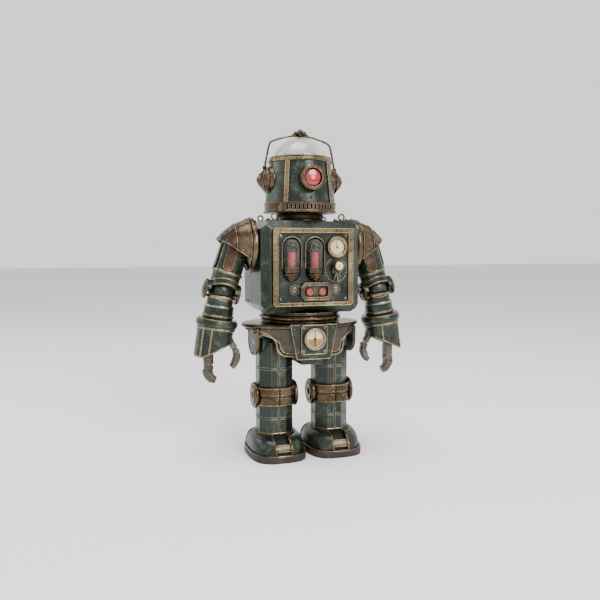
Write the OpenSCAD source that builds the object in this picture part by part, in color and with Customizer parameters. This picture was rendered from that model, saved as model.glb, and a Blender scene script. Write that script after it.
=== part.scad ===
// Walking toy robot with a riveted box torso, domed head, claw hands and jointed legs.
// Front faces -Y, +Z is up, the origin is on the floor below the middle of the robot's outline.
// Modules are drawn about the torso's own middle planes, and placed() moves them to that origin.
// Sides are the robot's own: "left" is +X.

/* [Torso] */
// Width of the torso box
torso_w = 90; // [84:1:94]
// Depth of the torso box
torso_d = 74; // [72:1:76]
// Height of the torso box
torso_h = 80; // [80:1:86]
// Chamfer on every edge of the torso box
torso_chamfer = 7; // [5:0.5:7]
// Wall of the sheet metal shells
wall = 2; // [1.6:0.1:2.2]

/* [Heights] */
// Floor to knee pin
knee_z = 54.5; // [54:0.5:55]
// Floor to hip shaft
hip_z = 103; // [102.5:0.5:103]
// Floor to the underside of the torso box
torso_z = 130; // [130:0.5:132]

/* [Head] */
// Radius of the head shell at its lower edge
head_r = 32; // [31:0.5:32.5]
// Radius of the head shell at its upper edge
head_top_r = 28; // [27.5:0.5:28.5]
// Radius of the glass dome
dome_r = 25.2; // [24:0.2:25.2]

/* [Arms] */
// Outward lean of the upper arm in degrees
upper_lean = 18; // [17:0.5:19]
// Outward lean of the forearm in degrees
fore_lean = 9; // [8:0.5:10]
// Shoulder centre to elbow pin
upper_len = 42.6; // [42:0.2:43]
// Radius of the upper arm tube
arm_r = 12.5; // [12:0.1:12.6]

/* [Legs] */
// Distance of each leg from the middle plane
leg_x = 26.5; // [26:0.25:27]
// Width of the octagonal leg across its flats
leg_af = 31; // [30:0.5:31]
// Swing room cut behind each knee in degrees
knee_relief = 16; // [15:1:18]

/* [Hidden] */
$fn = 48;

mid_y = 3.85;                    // from the torso's middle to the middle of the outline
gap = 0.3;                       // clearance between parts of different bodies
run = 0.06;                      // radial running clearance of pins in their bores
torso_top = torso_z + torso_h;
front = -torso_d / 2;            // Y of the torso's front face
limb_y = -5;                     // Y of the shoulder, hip, knee and ankle pins
seam_y = 20;                     // Y where the rear cover meets the front box

// pelvis
flange_z = 116;
flange_t = 3.5;
flange_a = 54;
flange_b = 37;
skirt_low = 92.5;                // lower edge of the pelvis skirt
hip_shaft_r = 3;
waist_r = 36;
waist_post_r = 10;

// chest
panel_t = 1.2;
panel_y = front - panel_t;       // Y of the chest panel's face
panel_hw = 31.9;
panel_low = 139.6;
panel_high = 199.4;
frame_out = 36;
frame_low = 136.8;
frame_high = 203.2;
tube_x = [-20, 0.8];
tube_y = front - 1.5;
tube_r = 7;
niche_r = 8.2;
niche_low = 158.6;
niche_high = 195.6;
tube_foot = 170;                 // Z where the glass meets its base
gauge_pos = [21, 187.4];
selector_pos = [20.5, 167.5];
button_x = [7.3, -4.1];          // left, right
button_z = 148.8;
button_r = 3.35;
bezel_mid = [1.6, 149.3];
box_y = -front - wall - torso_chamfer - 13.5;    // middle of the battery box, clear of the rear chamfer

// head
head_z = 217.8;
cone_low = 226.5;
cone_high = 263;
band_high = 267;
dome_top = 285.5;
eye_z = 247;
eye_r = 10.9;
neck_post_r = 8;

// arms
shoulder = [61, limb_y, 189];
hub_x = torso_w / 2 + 1.3;
elbow = [shoulder[0] + upper_len * sin(upper_lean), limb_y, shoulder[2] - upper_len * cos(upper_lean)];
elbow_lean = (upper_lean + fore_lean) / 2;
elbow_ball_r = 10.6;
elbow_seat_r = 8;
arm_band_z = 32;                 // height of the upper arm's band over the tube's lower end
elbow_relief = 27;
wrist_z = -24;                   // wrist seam on the forearm axis, below the elbow
cuff_low = -58;
finger_root = [4.5, -50];        // X and Z on the forearm axis
finger_knuckle = [1.8, -67.5];
thumb_root = [-13.6, -41.5];
thumb_knuckle = [-20.5, -50.5];
claw_w = 9;
thumb_w = 6.5;
claw_pin_r = 1.5;

// legs
knee_ball_r = 12.5;
knee_pin_r = 2;
knee_disc_r = 11.5;
band_h = 7.6;
ankle_z = 13;
ankle_pin_r = 2.5;
sole_t = 6;
foot_top = 20.5;

// ---------- shared shapes ----------

module placed() translate([0, mid_y, 0]) children();

// Octagonal bar across flats af, from z0 to z1.
module oct_bar(af, z0, z1)
    translate([0, 0, z0]) rotate(22.5) cylinder(r = af / 2 / cos(22.5), h = z1 - z0, $fn = 8);

// Round bar along X between x0 and x1.
module x_bar(r, x0, x1)
    translate([x0, 0, 0]) rotate([0, 90, 0]) cylinder(r = r, h = x1 - x0);

// Round bar along Y between y0 and y1.
module y_bar(r, y0, y1)
    translate([0, y1, 0]) rotate([90, 0, 0]) cylinder(r = r, h = y1 - y0);

// Flat shape drawn as X and Z, made solid between y0 and y1.
module y_plate(y0, y1)
    translate([0, y1, 0]) rotate([90, 0, 0]) linear_extrude(y1 - y0) children();

// Flat shape drawn as Y and Z, made solid between x0 and x1.
module x_plate(x0, x1)
    translate([x0, 0, 0]) rotate([90, 0, 90]) linear_extrude(x1 - x0) children();

// Points of a superellipse with half sizes a and b.
function oval(a, b, p = 2, n = 56) = [
    for (i = [0 : n - 1])
        let (c = cos(360 * i / n), s = sin(360 * i / n))
        [a * sign(c) * pow(abs(c), 2 / p), b * sign(s) * pow(abs(s), 2 / p)]
];

// Rectangle between two corners with its own corners cut at 45 degrees.
module cut_rect(x0, y0, x1, y1, c)
    polygon([[x0 + c, y0], [x1 - c, y0], [x1, y0 + c], [x1, y1 - c],
             [x1 - c, y1], [x0 + c, y1], [x0, y1 - c], [x0, y0 + c]]);

// Arch outline: straight sides from z0 and a round top that reaches z1.
module arch(r, z0, z1) {
    translate([-r, z0]) square([2 * r, z1 - r - z0]);
    translate([0, z1 - r]) circle(r);
}

// Copies a left part to the right side.
module on_right() mirror([1, 0, 0]) children();

// ---------- pelvis ----------

// Half outline of the skirt in front view, from the flange's end to the middle.
function skirt_edge() = concat(
    [[flange_a, flange_z], [flange_a, flange_z - 1], [50, flange_z - 1]],
    [for (t = [15 : 15 : 90]) [50 - 19 * sin(t), 101 + 14 * cos(t)]],
    [for (t = [15 : 15 : 90]) [22 + 9 * cos(t), 101 - (101 - skirt_low) * sin(t)]],
    [[0, skirt_low], [0, flange_z]]
);

module skirt_ring(a, b, thick)
    translate([0, 0, 80]) linear_extrude(flange_z - 80) difference() {
        polygon(oval(a, b));
        polygon(oval(a - thick, b - thick));
    }

module pelvis_shell() color("darkslategray") {
    intersection() {
        skirt_ring(52, 36.9, 2);
        union() {
            y_plate(-40, 40) polygon(skirt_edge());
            mirror([1, 0, 0]) y_plate(-40, 40) polygon(skirt_edge());
        }
    }
    // flat pad behind the belt plate
    translate([-13, -37, 91]) cube([26, 3, flange_z - 91]);
    // floor of the crotch between the legs
    difference() {
        translate([-9.5, -34, 84.6]) cube([19, 66, 5]);
        translate([-7.5, -31, 86.6]) cube([15, 60, 5]);
    }
    // walls that join the floor to the skirt
    translate([-9.5, -34.6, 89.5]) cube([19, 2, 6]);
    translate([-9.5, 30.5, 89.5]) cube([19, 4.5, 6]);
}

module pelvis_flange() color("sienna") difference() {
    translate([0, 0, flange_z]) linear_extrude(flange_t) polygon(oval(flange_a, flange_b, 1.9));
    translate([0, 0, flange_z - 1]) cylinder(r = waist_post_r + run, h = flange_t + 2);
}

module hip_guard() difference() {
    translate([44.2, limb_y, 0]) x_plate(0, 2) {
        translate([-16, 103]) square([32, flange_z - 103]);
        intersection() {
            translate([-16, 88]) square([32, 16]);
            translate([0, 103]) polygon(oval(16, 12));
        }
    }
    // room for the skirt's rim
    translate([0, 0, 113.6]) linear_extrude(4) difference() {
        polygon(oval(52.4, 37.3));
        polygon(oval(49.6, 34.5));
    }
    // seat of the hip shaft's end
    translate([0, limb_y, hip_z]) x_bar(hip_shaft_r + 0.02, 40, 50);
}

module hip_guards() color("saddlebrown") {
    hip_guard();
    on_right() hip_guard();
}

module belt_plate() color("darkslategray") {
    y_plate(-39.3, -37)
        polygon([[-21.4, 120.5], [-15.6, 90.8], [-14, 90], [14, 90], [15.6, 90.8], [21.4, 120.5]]);
    y_plate(-40.6, -39.3) cut_rect(-11.7, 94.6, 11.7, 120, 1.6);
}

module belt_gauge() translate([0, -40.6, 108]) {
    color("gold") difference() {
        y_bar(9.6, -3, 0);
        y_bar(8, -4, 1);
    }
    color("ivory") y_bar(7.98, -1.4, 0);
}

module drive_unit() translate([0, limb_y, 0]) {
    color("dimgray") difference() {
        translate([-8.5, -17, 89.6]) cube([17, 34, 21.4]);
        translate([-7, -15.5, 91.5]) cube([14, 31, 18]);
        translate([0, 0, hip_z]) x_bar(hip_shaft_r + 0.02, -10, 10);
    }
    color("silver") translate([0, 0, hip_z]) x_bar(hip_shaft_r, -46, 46);
    // motor can and its worm, low in the case
    color("silver") translate([0, 0, 95.8]) {
        y_bar(4, -15.4, 6);
        y_bar(1.6, 6, 15.4);
    }
}

// ---------- torso ----------

// Chamfered box, shrunk by inset on every side.
module chamfer_box(inset) {
    hw = torso_w / 2 - inset;
    hd = torso_d / 2 - inset;
    lo = torso_z + inset;
    hi = torso_top - inset;
    c = torso_chamfer - inset * 0.586;
    intersection() {
        translate([0, 0, lo]) linear_extrude(hi - lo) cut_rect(-hw, -hd, hw, hd, c);
        y_plate(-hd, hd) cut_rect(-hw, lo, hw, hi, c);
        x_plate(-hw, hw) cut_rect(-hd, lo, hd, hi, c);
    }
}

module torso_shell() color("darkslategray") difference() {
    chamfer_box(0);
    chamfer_box(wall);
    translate([-60, seam_y, torso_z - 5]) cube([120, 60, torso_h + 10]);
    // opening behind the chest panel
    translate([-30.5, front - 1, 141]) cube([61, 4, 57]);
    // bores of the shoulder shafts
    translate([0, shoulder[1], shoulder[2]]) x_bar(4 + run, -60, 60);
    // seats of the neck and waist posts
    translate([0, 0, torso_top - 5]) cylinder(r = neck_post_r + 0.02, h = 10);
    translate([0, 0, torso_z - 5]) cylinder(r = waist_post_r + 0.02, h = 10);
}

module torso_back() color("darkslategray") {
    difference() {
        chamfer_box(0);
        chamfer_box(wall);
        translate([-60, seam_y - 60.2, torso_z - 5]) cube([120, 60.2, torso_h + 10]);
    }
    // battery door with its ribs
    y_plate(-front, -front + 1.2) cut_rect(-26, 142, 26, 186, 2.5);
    for (z = [150 : 7 : 178])
        y_plate(-front + 1.2, -front + 1.9) cut_rect(-19, z, 19, z + 2.6, 0.8);
}

module waist_ring() color("peru") {
    difference() {
        rotate_extrude() polygon([
            [26, 120], [waist_r - 2, 120], [waist_r - 1, 121], [waist_r - 1, 122.6], [waist_r, 123.2],
            [waist_r, 126.4], [waist_r - 1.4, 127.2], [waist_r - 1.4, 128.2], [waist_r - 0.4, 128.8],
            [waist_r - 0.4, torso_z], [26, torso_z]
        ]);
        translate([0, 0, 119]) cylinder(r = waist_post_r - 2.5, h = 12);
    }
    difference() {
        union() {
            translate([0, 0, 112.2]) cylinder(r = waist_post_r, h = torso_z + wall - 112.2);
            // collar that keeps the torso on the pelvis
            translate([0, 0, 112.8]) cylinder(r = waist_post_r + 2.5, h = 2.8);
            translate([0, 0, 126]) cylinder(r = 27, h = torso_z - 126);
        }
        translate([0, 0, 112]) cylinder(r = waist_post_r - 2.5, h = torso_z + 4 - 112);
    }
}

module neck_collar() color("peru") difference() {
    union() {
        rotate_extrude() polygon([
            [0, torso_top], [23.5, torso_top], [23.5, 211], [21.2, 212], [20.8, 213.4], [21.4, 214],
            [21.4, 215.4], [20.6, 216.1], [20.6, 217.4], [0, 217.4]
        ]);
        translate([0, 0, torso_top - wall]) cylinder(r = neck_post_r, h = 16);
        // collar that keeps the head on its post
        translate([0, 0, head_z + 2.4]) cylinder(r = neck_post_r + 2, h = 2);
    }
    translate([0, 0, 200]) cylinder(r = neck_post_r - 2.5, h = 40);
}

module niche(r, z0, z1, y0, y1)
    for (x = tube_x)
        translate([x, 0, 0]) y_plate(y0, y1) arch(r, z0, z1);

module chest_panel() color("darkslategray") difference() {
    union() {
        y_plate(panel_y, front) polygon([[-panel_hw, panel_low], [panel_hw, panel_low],
                                         [panel_hw, panel_high], [-panel_hw, panel_high]]);
        niche(niche_r + 1, niche_low - 1, niche_high + 1, front, -29);
    }
    niche(niche_r, tube_foot - 1.4, niche_high, panel_y - 1, -30);
    // close seat round the base of each tube
    for (x = tube_x)
        translate([x, tube_y, 0]) rotate_extrude()
            polygon([[0, niche_low - 0.4], [3.6, niche_low - 0.4], [7.9, 163],
                     [7.9, tube_foot], [0, tube_foot]]);
    for (x = button_x)
        translate([x, 0, button_z]) y_bar(button_r + gap, panel_y - 1, front + 1);
    translate([selector_pos[0], 0, selector_pos[1]]) y_bar(2 + run, panel_y - 1, front + 1);
}

module panel_frame() color("goldenrod") {
    difference() {
        y_plate(front - 2.4, front) cut_rect(-frame_out, frame_low, frame_out, frame_high, 2);
        y_plate(front - 4, front + 1) polygon([[-panel_hw, panel_low], [panel_hw, panel_low],
                                               [panel_hw, panel_high], [-panel_hw, panel_high]]);
    }
    // light edges of the two tube niches
    for (x = tube_x)
        translate([x, 0, 0]) difference() {
            y_plate(panel_y - 1, panel_y) arch(niche_r + 0.9, tube_foot - 1, niche_high + 0.9);
            y_plate(panel_y - 2, panel_y + 1) arch(niche_r, tube_foot - 2, niche_high);
        }
}

module tube_bases() color("peru") for (x = tube_x)
    translate([x, tube_y, 0]) rotate_extrude() polygon([
        [0, niche_low], [3.2, niche_low], [4.4, 160.4], [5.6, 161.2], [6.6, 162.4], [7.4, 163.2],
        [7.4, 164.4], [6.7, 165], [7.5, 165.6], [7.5, 166.8], [6.9, 167.4], [7.6, 168], [7.6, tube_foot],
        [0, tube_foot]
    ]);

module tube_glass() color("lightblue", 0.4) for (x = tube_x)
    translate([x, tube_y, 0]) difference() {
        union() {
            translate([0, 0, tube_foot]) cylinder(r = tube_r, h = 17.2);
            translate([0, 0, tube_foot + 17.2]) sphere(tube_r);
        }
        translate([0, 0, tube_foot - 1]) cylinder(r = tube_r - 0.8, h = 18.2);
        translate([0, 0, tube_foot + 17.2]) sphere(tube_r - 0.8);
    }

module tube_cores() for (x = tube_x)
    translate([x, tube_y, 0]) {
        color("hotpink") translate([0, 0, tube_foot]) cylinder(r = 3.1, h = 13.6);
        color("silver") translate([0, 0, tube_foot + 13.6]) cylinder(r = 3.6, h = 1.6);
        color("silver") translate([0, 0, tube_foot + 15.2]) cylinder(r = 1.2, h = 2.2);
        color("silver") for (a = [90, 210, 330])
            rotate(a) translate([2.4, 0, tube_foot + 18.6]) sphere(1.9);
    }

module chest_gauge() translate([gauge_pos[0], panel_y, gauge_pos[1]]) {
    color("goldenrod") difference() {
        y_bar(9, -3.2, 0);
        y_bar(6.7, -4, 1);
    }
    color("ivory") y_bar(6.68, -1.5, 0);
}

module button_bezel() color("dimgray") translate([0, panel_y, 0]) difference() {
    union() {
        // strap with a screw ear at each end
        y_plate(-1.4, 0) {
            translate([bezel_mid[0] - 19.4, 150.8]) circle(4.4);
            translate([bezel_mid[0] + 18.4, 150.8]) circle(4.4);
            translate([bezel_mid[0] - 19.4, 147.4]) square([37.8, 6.8]);
        }
        y_plate(-3.6, 0) translate(bezel_mid) cut_rect(-13.7, -7.4, 13.7, 7.4, 3.2);
    }
    y_plate(-5, -1.2) translate(bezel_mid) cut_rect(-11.2, -5.2, 11.2, 5.2, 1.8);
    for (x = button_x)
        translate([x, 0, button_z]) y_bar(button_r + gap, -6, 1);
}

module battery_box() color("black") translate([0, box_y, torso_z + wall]) difference() {
    translate([-30, -13, 0]) cube([60, 26, 48]);
    translate([-28.5, -11.5, 1.5]) cube([57, 23, 52]);
}

module batteries() color("darkgoldenrod") for (x = [-16, 0, 16])
    translate([x, box_y, torso_z + wall + 1.5]) {
        cylinder(r = 7.1, h = 49.3);
        translate([0, 0, 49.3]) cylinder(r = 2.7, h = 1.2);
    }

module eye_bolts() color("peru") for (x = [-31, 31], y = [-24, 24])
    translate([x, y, torso_top]) difference() {
        union() {
            cylinder(r = 2.8, h = 1.2);
            translate([0, 0, 3.9]) y_bar(3.3, -1, 1);
        }
        translate([0, 0, 3.9]) y_bar(1.8, -2, 2);
    }

module panel_screws() color("tan") {
    for (x = [-30.3, 30.3], z = [panel_low + 1.7, panel_high - 1.7])
        translate([x, panel_y, z]) y_bar(1, -0.8, 0);
    for (x = [bezel_mid[0] - 19.2, bezel_mid[0] + 18.2])
        translate([x, panel_y - 1.4, 150.8]) y_bar(1.8, -1.4, 0);
}

module selector_knob() color("peru") translate([selector_pos[0], panel_y, selector_pos[1]]) {
    y_bar(2, -1.5, 6);
    y_bar(4.2, -2.8, -gap);
    y_plate(-5.2, -2.8) {
        circle(3);
        polygon([[-1.9, 0], [1.9, 0], [2.4, 3.6], [-2.4, 3.6]]);
        polygon([[-1.9, 0], [1.9, 0], [0.6, -8.2], [-0.6, -8.2]]);
    }
    translate([0, 0, 3.6]) y_bar(3.9, -8.4, -2.8);
}

module button(x) color("orangered") translate([x, panel_y, button_z]) {
    y_bar(button_r, -2.6, 3);
    y_bar(button_r + 1.4, 3, 4);
}

module button_left() button(button_x[0]);
module button_right() button(button_x[1]);

// ---------- head ----------

// Solid cone of the head, grown by extra.
module head_cone(extra)
    translate([0, 0, cone_low])
        cylinder(r1 = head_r + extra, r2 = head_top_r + extra, h = cone_high - cone_low);

module head_shell() color("darkslategray") difference() {
    head_cone(0);
    translate([0, 0, -1.7]) head_cone(-1.6);
    translate([0, 0, eye_z]) y_bar(eye_r + 0.02, -50, 0);
}

module head_base_ring() color("peru") difference() {
    union() {
        translate([0, 0, head_z]) cylinder(r = 33, h = 1.6);
        translate([0, 0, head_z + 1.6]) cylinder(r = 32.5, h = 6);
        translate([0, 0, head_z + 7.6]) cylinder(r = 33, h = cone_low - head_z - 7.6);
    }
    translate([0, 0, head_z + 2]) cylinder(r = 30.6, h = 10);
    translate([0, 0, head_z - 1]) cylinder(r = neck_post_r + run, h = 5);
    // breathing slots under the face
    for (i = [-6 : 6])
        rotate(i * 6.3) translate([-0.85, -36, head_z + 2.2]) cube([1.7, 8, 4.8]);
}

module head_bands() color("goldenrod") {
    translate([0, 0, cone_high]) difference() {
        union() {
            cylinder(r = 28.9, h = 2);
            cylinder(r = 28, h = band_high - cone_high);
        }
        translate([0, 0, -1]) cylinder(r = dome_r + 0.1, h = 9);
    }
    // riveted strips that frame the face
    for (a = [-40, 40])
        intersection() {
            difference() {
                head_cone(0.9);
                head_cone(0);
            }
            rotate(a) translate([-1.8, -40, cone_low]) cube([3.6, 30, 50]);
        }
}

module eye_bezel() color("peru") translate([0, 0, eye_z]) difference() {
    union() {
        y_bar(eye_r, -36.6, -26.5);
        y_bar(eye_r - 0.8, -37.4, -36.6);
    }
    y_bar(8.1, -40, -33);
    y_bar(6, -34, -20);
}

module eye_lens() color("red") translate([0, 0, eye_z]) intersection() {
    translate([0, -24.2, 0]) sphere(12.2);
    y_bar(8.08, -40, -33);
}

// Dome half profile: upright at the rim and round on top.
function dome_line(r, h) = [for (t = [0 : 6 : 90]) [r * cos(t), h * sin(t)]];

module glass_dome() color("white", 0.4) translate([0, 0, cone_high]) rotate_extrude() polygon(concat(
    dome_line(dome_r, dome_top - cone_high),
    [for (p = [16 : -1 : 1]) dome_line(dome_r - 1.4, dome_top - cone_high - 1.4)[p - 1]]
));

module ear_cap() difference() {
    translate([0, 0, eye_z]) rotate([0, 90, 0]) rotate_extrude() polygon([
        [0, 24], [12, 24], [12, 30.6], [11.2, 31.4], [11.2, 32.4], [10.4, 32.8], [10.4, 33.8],
        [9.2, 34.2], [9.2, 35], [7.6, 36.8], [5.4, 38.6], [2.8, 39.8], [0, 40.3]
    ]);
    head_cone(0);
}

module ear_caps() color("peru") {
    ear_cap();
    on_right() ear_cap();
}

// Wire from point a to point b, both in the XZ plane.
module wire(a, b, r) {
    d = b - a;
    translate([a[0], 0, a[1]]) rotate([0, atan2(d[0], d[1]), 0]) cylinder(r = r, h = norm(d));
}

bow = [[-33.4, 259], [-28.4, 279.8], [-25, 282.4], [-9, 287.2], [9, 287.2], [25, 282.4], [28.4, 279.8],
       [33.4, 259]];

module antenna_bow() color("peru") {
    for (i = [0 : len(bow) - 2]) wire(bow[i], bow[i + 1], 1);
    for (i = [1 : len(bow) - 2]) translate([bow[i][0], 0, bow[i][1]])
        rotate([0, bow[i][0] < 0 ? -117 : -63, 0]) rotate([90, 0, 0]) sphere(1.2);
    for (s = [-1, 1]) translate([s * 33, 0, 258.2]) cylinder(r = 1.8, h = 3);
    translate([0, 0, 285.6]) rotate(90) rotate_extrude() polygon([
        [0, 0], [1.6, 0], [2, 3], [3.6, 3.6], [5.2, 4.6], [5.2, 5.4], [3, 5.6], [2.4, 6.6], [1.2, 7.6], [0, 8]
    ]);
}

// ---------- arms (left side, X > 0) ----------

// Moves children from the upper arm's axis frame (origin at the shoulder) into place.
module upper_frame() translate(shoulder) rotate([0, -upper_lean, 0]) children();

// The same for the elbow pin's frame and the forearm's frame, with their origin at the elbow.
module elbow_frame() translate(elbow) rotate([0, -elbow_lean, 0]) children();
module fore_frame() translate(elbow) rotate([0, -fore_lean, 0]) children();

// Everything on one side of a wedge that opens forward from the elbow pin.
module elbow_cut(up) elbow_frame() mirror([0, 0, up ? 0 : 1])
    x_plate(-30, 30) polygon([[40, gap / 2], [0, gap / 2], [-40, gap / 2 + 40 * tan(elbow_relief)],
                              [-40, -40], [40, -40]]);

// Outer line of the pauldron as radius and X, moved inward by d.
function pauldron_line(d) = [[23.4 - d, hub_x + 0.4], [23.6 - d, hub_x + 3], [22 - d, 55], [19.6 - d, 61],
                             [16.9 - d, 66], [13.6 - d, 70.5], [10 - d, 74.5], [6.6 - d, 77.5 - d]];

module pauldron() color("sienna") translate([0, shoulder[1], shoulder[2]]) difference() {
    rotate([0, 90, 0]) rotate_extrude() polygon(concat(
        pauldron_line(0), [[0, 77.8], [0, 76.2]],
        [for (i = [7 : -1 : 0]) pauldron_line(1.6)[i]]
    ));
    // sloping lower edge that leaves the arm free
    translate([0, -30, 0]) rotate([-90, 0, 0]) linear_extrude(60)
        polygon([[hub_x + 4.6, 12.3], [hub_x + 4.6, 40], [90, 40], [90, -14.4]]);
}

module shoulder_stub() translate([0, shoulder[1], shoulder[2]]) {
    x_bar(4, torso_w / 2 - wall - 1.6, hub_x);
    x_bar(5.6, torso_w / 2 - wall - 3.2, torso_w / 2 - wall - 0.4);
    x_bar(21.8, hub_x, hub_x + 1.8);
    x_bar(9, hub_x, shoulder[0]);
}

module upper_arm() color("darkslategray") {
    difference() {
        union() {
            shoulder_stub();
            translate(shoulder) sphere(arm_r + 0.3);
            difference() {
                upper_frame() translate([0, 0, -upper_len - 16]) {
                    cylinder(r = arm_r, h = upper_len + 16);
                    translate([0, 0, arm_band_z]) cylinder(r = arm_r + 0.7, h = 2.2);
                }
                elbow_cut(true);
            }
            // flat seats of the elbow discs
            for (s = [0, 1]) elbow_frame() mirror([s, 0, 0]) intersection() {
                x_bar(elbow_seat_r, elbow_ball_r + gap, 13.6);
                translate([0, -elbow_seat_r, gap / 2]) cube([14, 2 * elbow_seat_r, elbow_seat_r]);
            }
        }
        translate(elbow) sphere(elbow_ball_r + gap);
        elbow_frame() x_bar(2 + 0.02, -20, 20);
        upper_frame() translate([0, 0, -upper_len + 11]) cylinder(r = arm_r - 1.8, h = upper_len - 20);
    }
}

module elbow_pin() color("goldenrod") elbow_frame() {
    x_bar(2, -14, 14);
    for (s = [0, 1]) mirror([s, 0, 0]) {
        x_bar(8.6, 13.6, 15.2);
        x_bar(5.6, 15.2, 16.2);
    }
}

module forearm() color("darkslategray") {
    difference() {
        union() {
            difference() {
                fore_frame() rotate_extrude() polygon([
                    [0, 10], [11.6, 10], [11.6, -3], [12.4, -3.6], [12.4, -5.6], [11.6, -6.2], [11.5, -11.8],
                    [12.8, -12.4], [12.8, -14], [12.9, -14.2], [13.1, -20.4], [13.9, -20.8], [13.9, -22.4],
                    [13.2, -23], [13.2, wrist_z], [0, wrist_z]
                ]);
                elbow_cut(false);
                // clear of the elbow discs' seats
                for (s = [0, 1]) elbow_frame() mirror([s, 0, 0])
                    x_bar(elbow_seat_r + 0.4, elbow_ball_r, 20);
            }
            translate(elbow) sphere(elbow_ball_r);
            fore_frame() translate([0, 0, wrist_z - 8]) cylinder(r = 8, h = 9);
        }
        elbow_frame() x_bar(2 + run, -20, 20);
    }
}

// Half space above the slanted lower rim of the cuff, in the forearm frame.
module cuff_rim() y_plate(-30, 30)
    polygon([[20, cuff_low], [11, cuff_low], [-16, cuff_low + 16.6], [-30, cuff_low + 25], [-30, 0], [20, 0]]);

module gauntlet() color("darkslategray") fore_frame() difference() {
    union() {
        rotate_extrude() polygon([
            [12, wrist_z - gap], [16.4, wrist_z - gap], [17.6, -25.6], [18, -27.4], [18, -29], [17.4, -30.6],
            [16.4, -31.4], [16.4, -33.6], [15.7, -34.2], [15.2, -46], [15, -70], [12, -70]
        ]);
        translate([0, 0, -38]) cylinder(r = 14, h = 38 + wrist_z - gap);
    }
    // socket of the wrist stub
    translate([0, 0, wrist_z - 8 - gap]) cylinder(r = 8 + run, h = 12);
    translate([0, 0, -75]) cylinder(r = 13.6, h = 37);
    difference() {
        translate([-40, -40, -90]) cube([80, 80, 90 + wrist_z - 14]);
        cuff_rim();
    }
    // thumb notch on the inner side
    translate([-25, -thumb_w / 2 - 1.4, -60]) cube([15, thumb_w + 2.8, 22.5]);
}

// Forked claw link from point a to point b in the forearm frame, w wide.
module claw_link(a, b, w, t0, t1) {
    d = b - a;
    translate([a[0], 0, a[1]]) rotate([0, atan2(d[0], d[1]), 0])
        y_plate(-w / 2, w / 2) polygon([[-t0, 0], [t0, 0], [t1, norm(d)], [-t1, norm(d)]]);
}

module pin_lug(p, r, y0, y1) translate([p[0], 0, p[1]]) y_bar(r, y0, y1);

// Mount of the finger and thumb roots, part of the gauntlet.
module palm() color("dimgray") fore_frame() {
    for (s = [-1, 1]) translate([0, s * (claw_w / 2 + 1.5), 0]) {
        translate([finger_root[0] - 4, -1, finger_root[1]]) cube([8, 2, -38 - finger_root[1]]);
        pin_lug(finger_root, 4, -1, 1);
    }
    pin_lug(finger_root, claw_pin_r, -claw_w / 2 - 2, claw_w / 2 + 2);
    for (s = [-1, 1]) translate([0, s * (thumb_w / 2 + 1.1), 0]) {
        translate([thumb_root[0] - 1, -0.8, thumb_root[1] - 1]) cube([4, 1.6, -36.5 - thumb_root[1]]);
        pin_lug(thumb_root, 2.6, -0.8, 0.8);
    }
    pin_lug(thumb_root, claw_pin_r, -thumb_w / 2 - 1.5, thumb_w / 2 + 1.5);
}

module gauntlet_unit() {
    gauntlet();
    palm();
}

module finger() color("gray") fore_frame() difference() {
    union() {
        claw_link(finger_root, finger_knuckle, claw_w, 3.9, 4.7);
        pin_lug(finger_root, 4.2, -claw_w / 2, claw_w / 2);
        pin_lug(finger_knuckle, 5, -claw_w / 2, claw_w / 2);
    }
    pin_lug(finger_root, claw_pin_r + run, -10, 10);
    // slot for the tip's tongue
    translate([finger_knuckle[0], 0, finger_knuckle[1]]) difference() {
        y_bar(6.3, -1.8, 1.8);
        translate([-7, -3, 4.6]) cube([14, 6, 5]);
    }
}

module finger_tip() color("gray") fore_frame() {
    k = finger_knuckle;
    difference() {
        union() {
            y_plate(-1.5, 1.5) translate(k) {
                circle(4);
                polygon([[-3.4, 0], [3.4, 0], [2, -9], [-6, -8]]);
            }
            // hooked tip below the knuckle
            y_plate(-claw_w / 2, claw_w / 2) translate(k) difference() {
                polygon([[5.4, -3.6], [4.4, -8], [1.4, -11.6], [-3, -13.6], [-7.8, -13.6], [-9.6, -11.4],
                         [-9.4, -8.6], [-6.6, -6.8], [-5.2, -5.2]]);
                circle(5.6);
            }
        }
        pin_lug(k, claw_pin_r + run, -10, 10);
    }
}

// Pin that joins a finger to its tip, fixed in the finger.
module finger_unit() {
    finger();
    color("silver") fore_frame() pin_lug(finger_knuckle, claw_pin_r, -claw_w / 2 - 0.6, claw_w / 2 + 0.6);
}

module thumb() color("gray") fore_frame() {
    difference() {
        union() {
            claw_link(thumb_root, thumb_knuckle, thumb_w, 2.5, 2.9);
            pin_lug(thumb_root, 2.8, -thumb_w / 2, thumb_w / 2);
            pin_lug(thumb_knuckle, 3.2, -thumb_w / 2, thumb_w / 2);
        }
        pin_lug(thumb_root, claw_pin_r + run, -10, 10);
        translate([thumb_knuckle[0], 0, thumb_knuckle[1]]) y_bar(4.2, -1.3, 1.3);
    }
    pin_lug(thumb_knuckle, claw_pin_r * 0.8, -thumb_w / 2 - 0.5, thumb_w / 2 + 0.5);
}

module thumb_tip() color("gray") fore_frame() {
    k = thumb_knuckle;
    difference() {
        union() {
            y_plate(-1, 1) translate(k) {
                circle(2.9);
                polygon([[-2.4, 0], [2.4, 0], [1.8, -7], [-3.4, -7]]);
            }
            y_plate(-thumb_w / 2, thumb_w / 2) translate(k) difference() {
                polygon([[2.4, -2.8], [3.4, -8.6], [2.6, -15.4], [-0.6, -16.4], [-3.2, -13.6], [-4.4, -8],
                         [-2.6, -2.8]]);
                circle(3.8);
            }
        }
        pin_lug(k, claw_pin_r * 0.8 + run, -10, 10);
    }
}

// ---------- legs (left side, X > 0) ----------

module at_leg(z) translate([leg_x, limb_y, z]) children();

// Shallow seam round an octagonal leg.
module seam_ring(z) translate([0, 0, z]) difference() {
    oct_bar(leg_af + 4, -0.4, 0.4);
    oct_bar(leg_af - 1, -1, 1);
}

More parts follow.
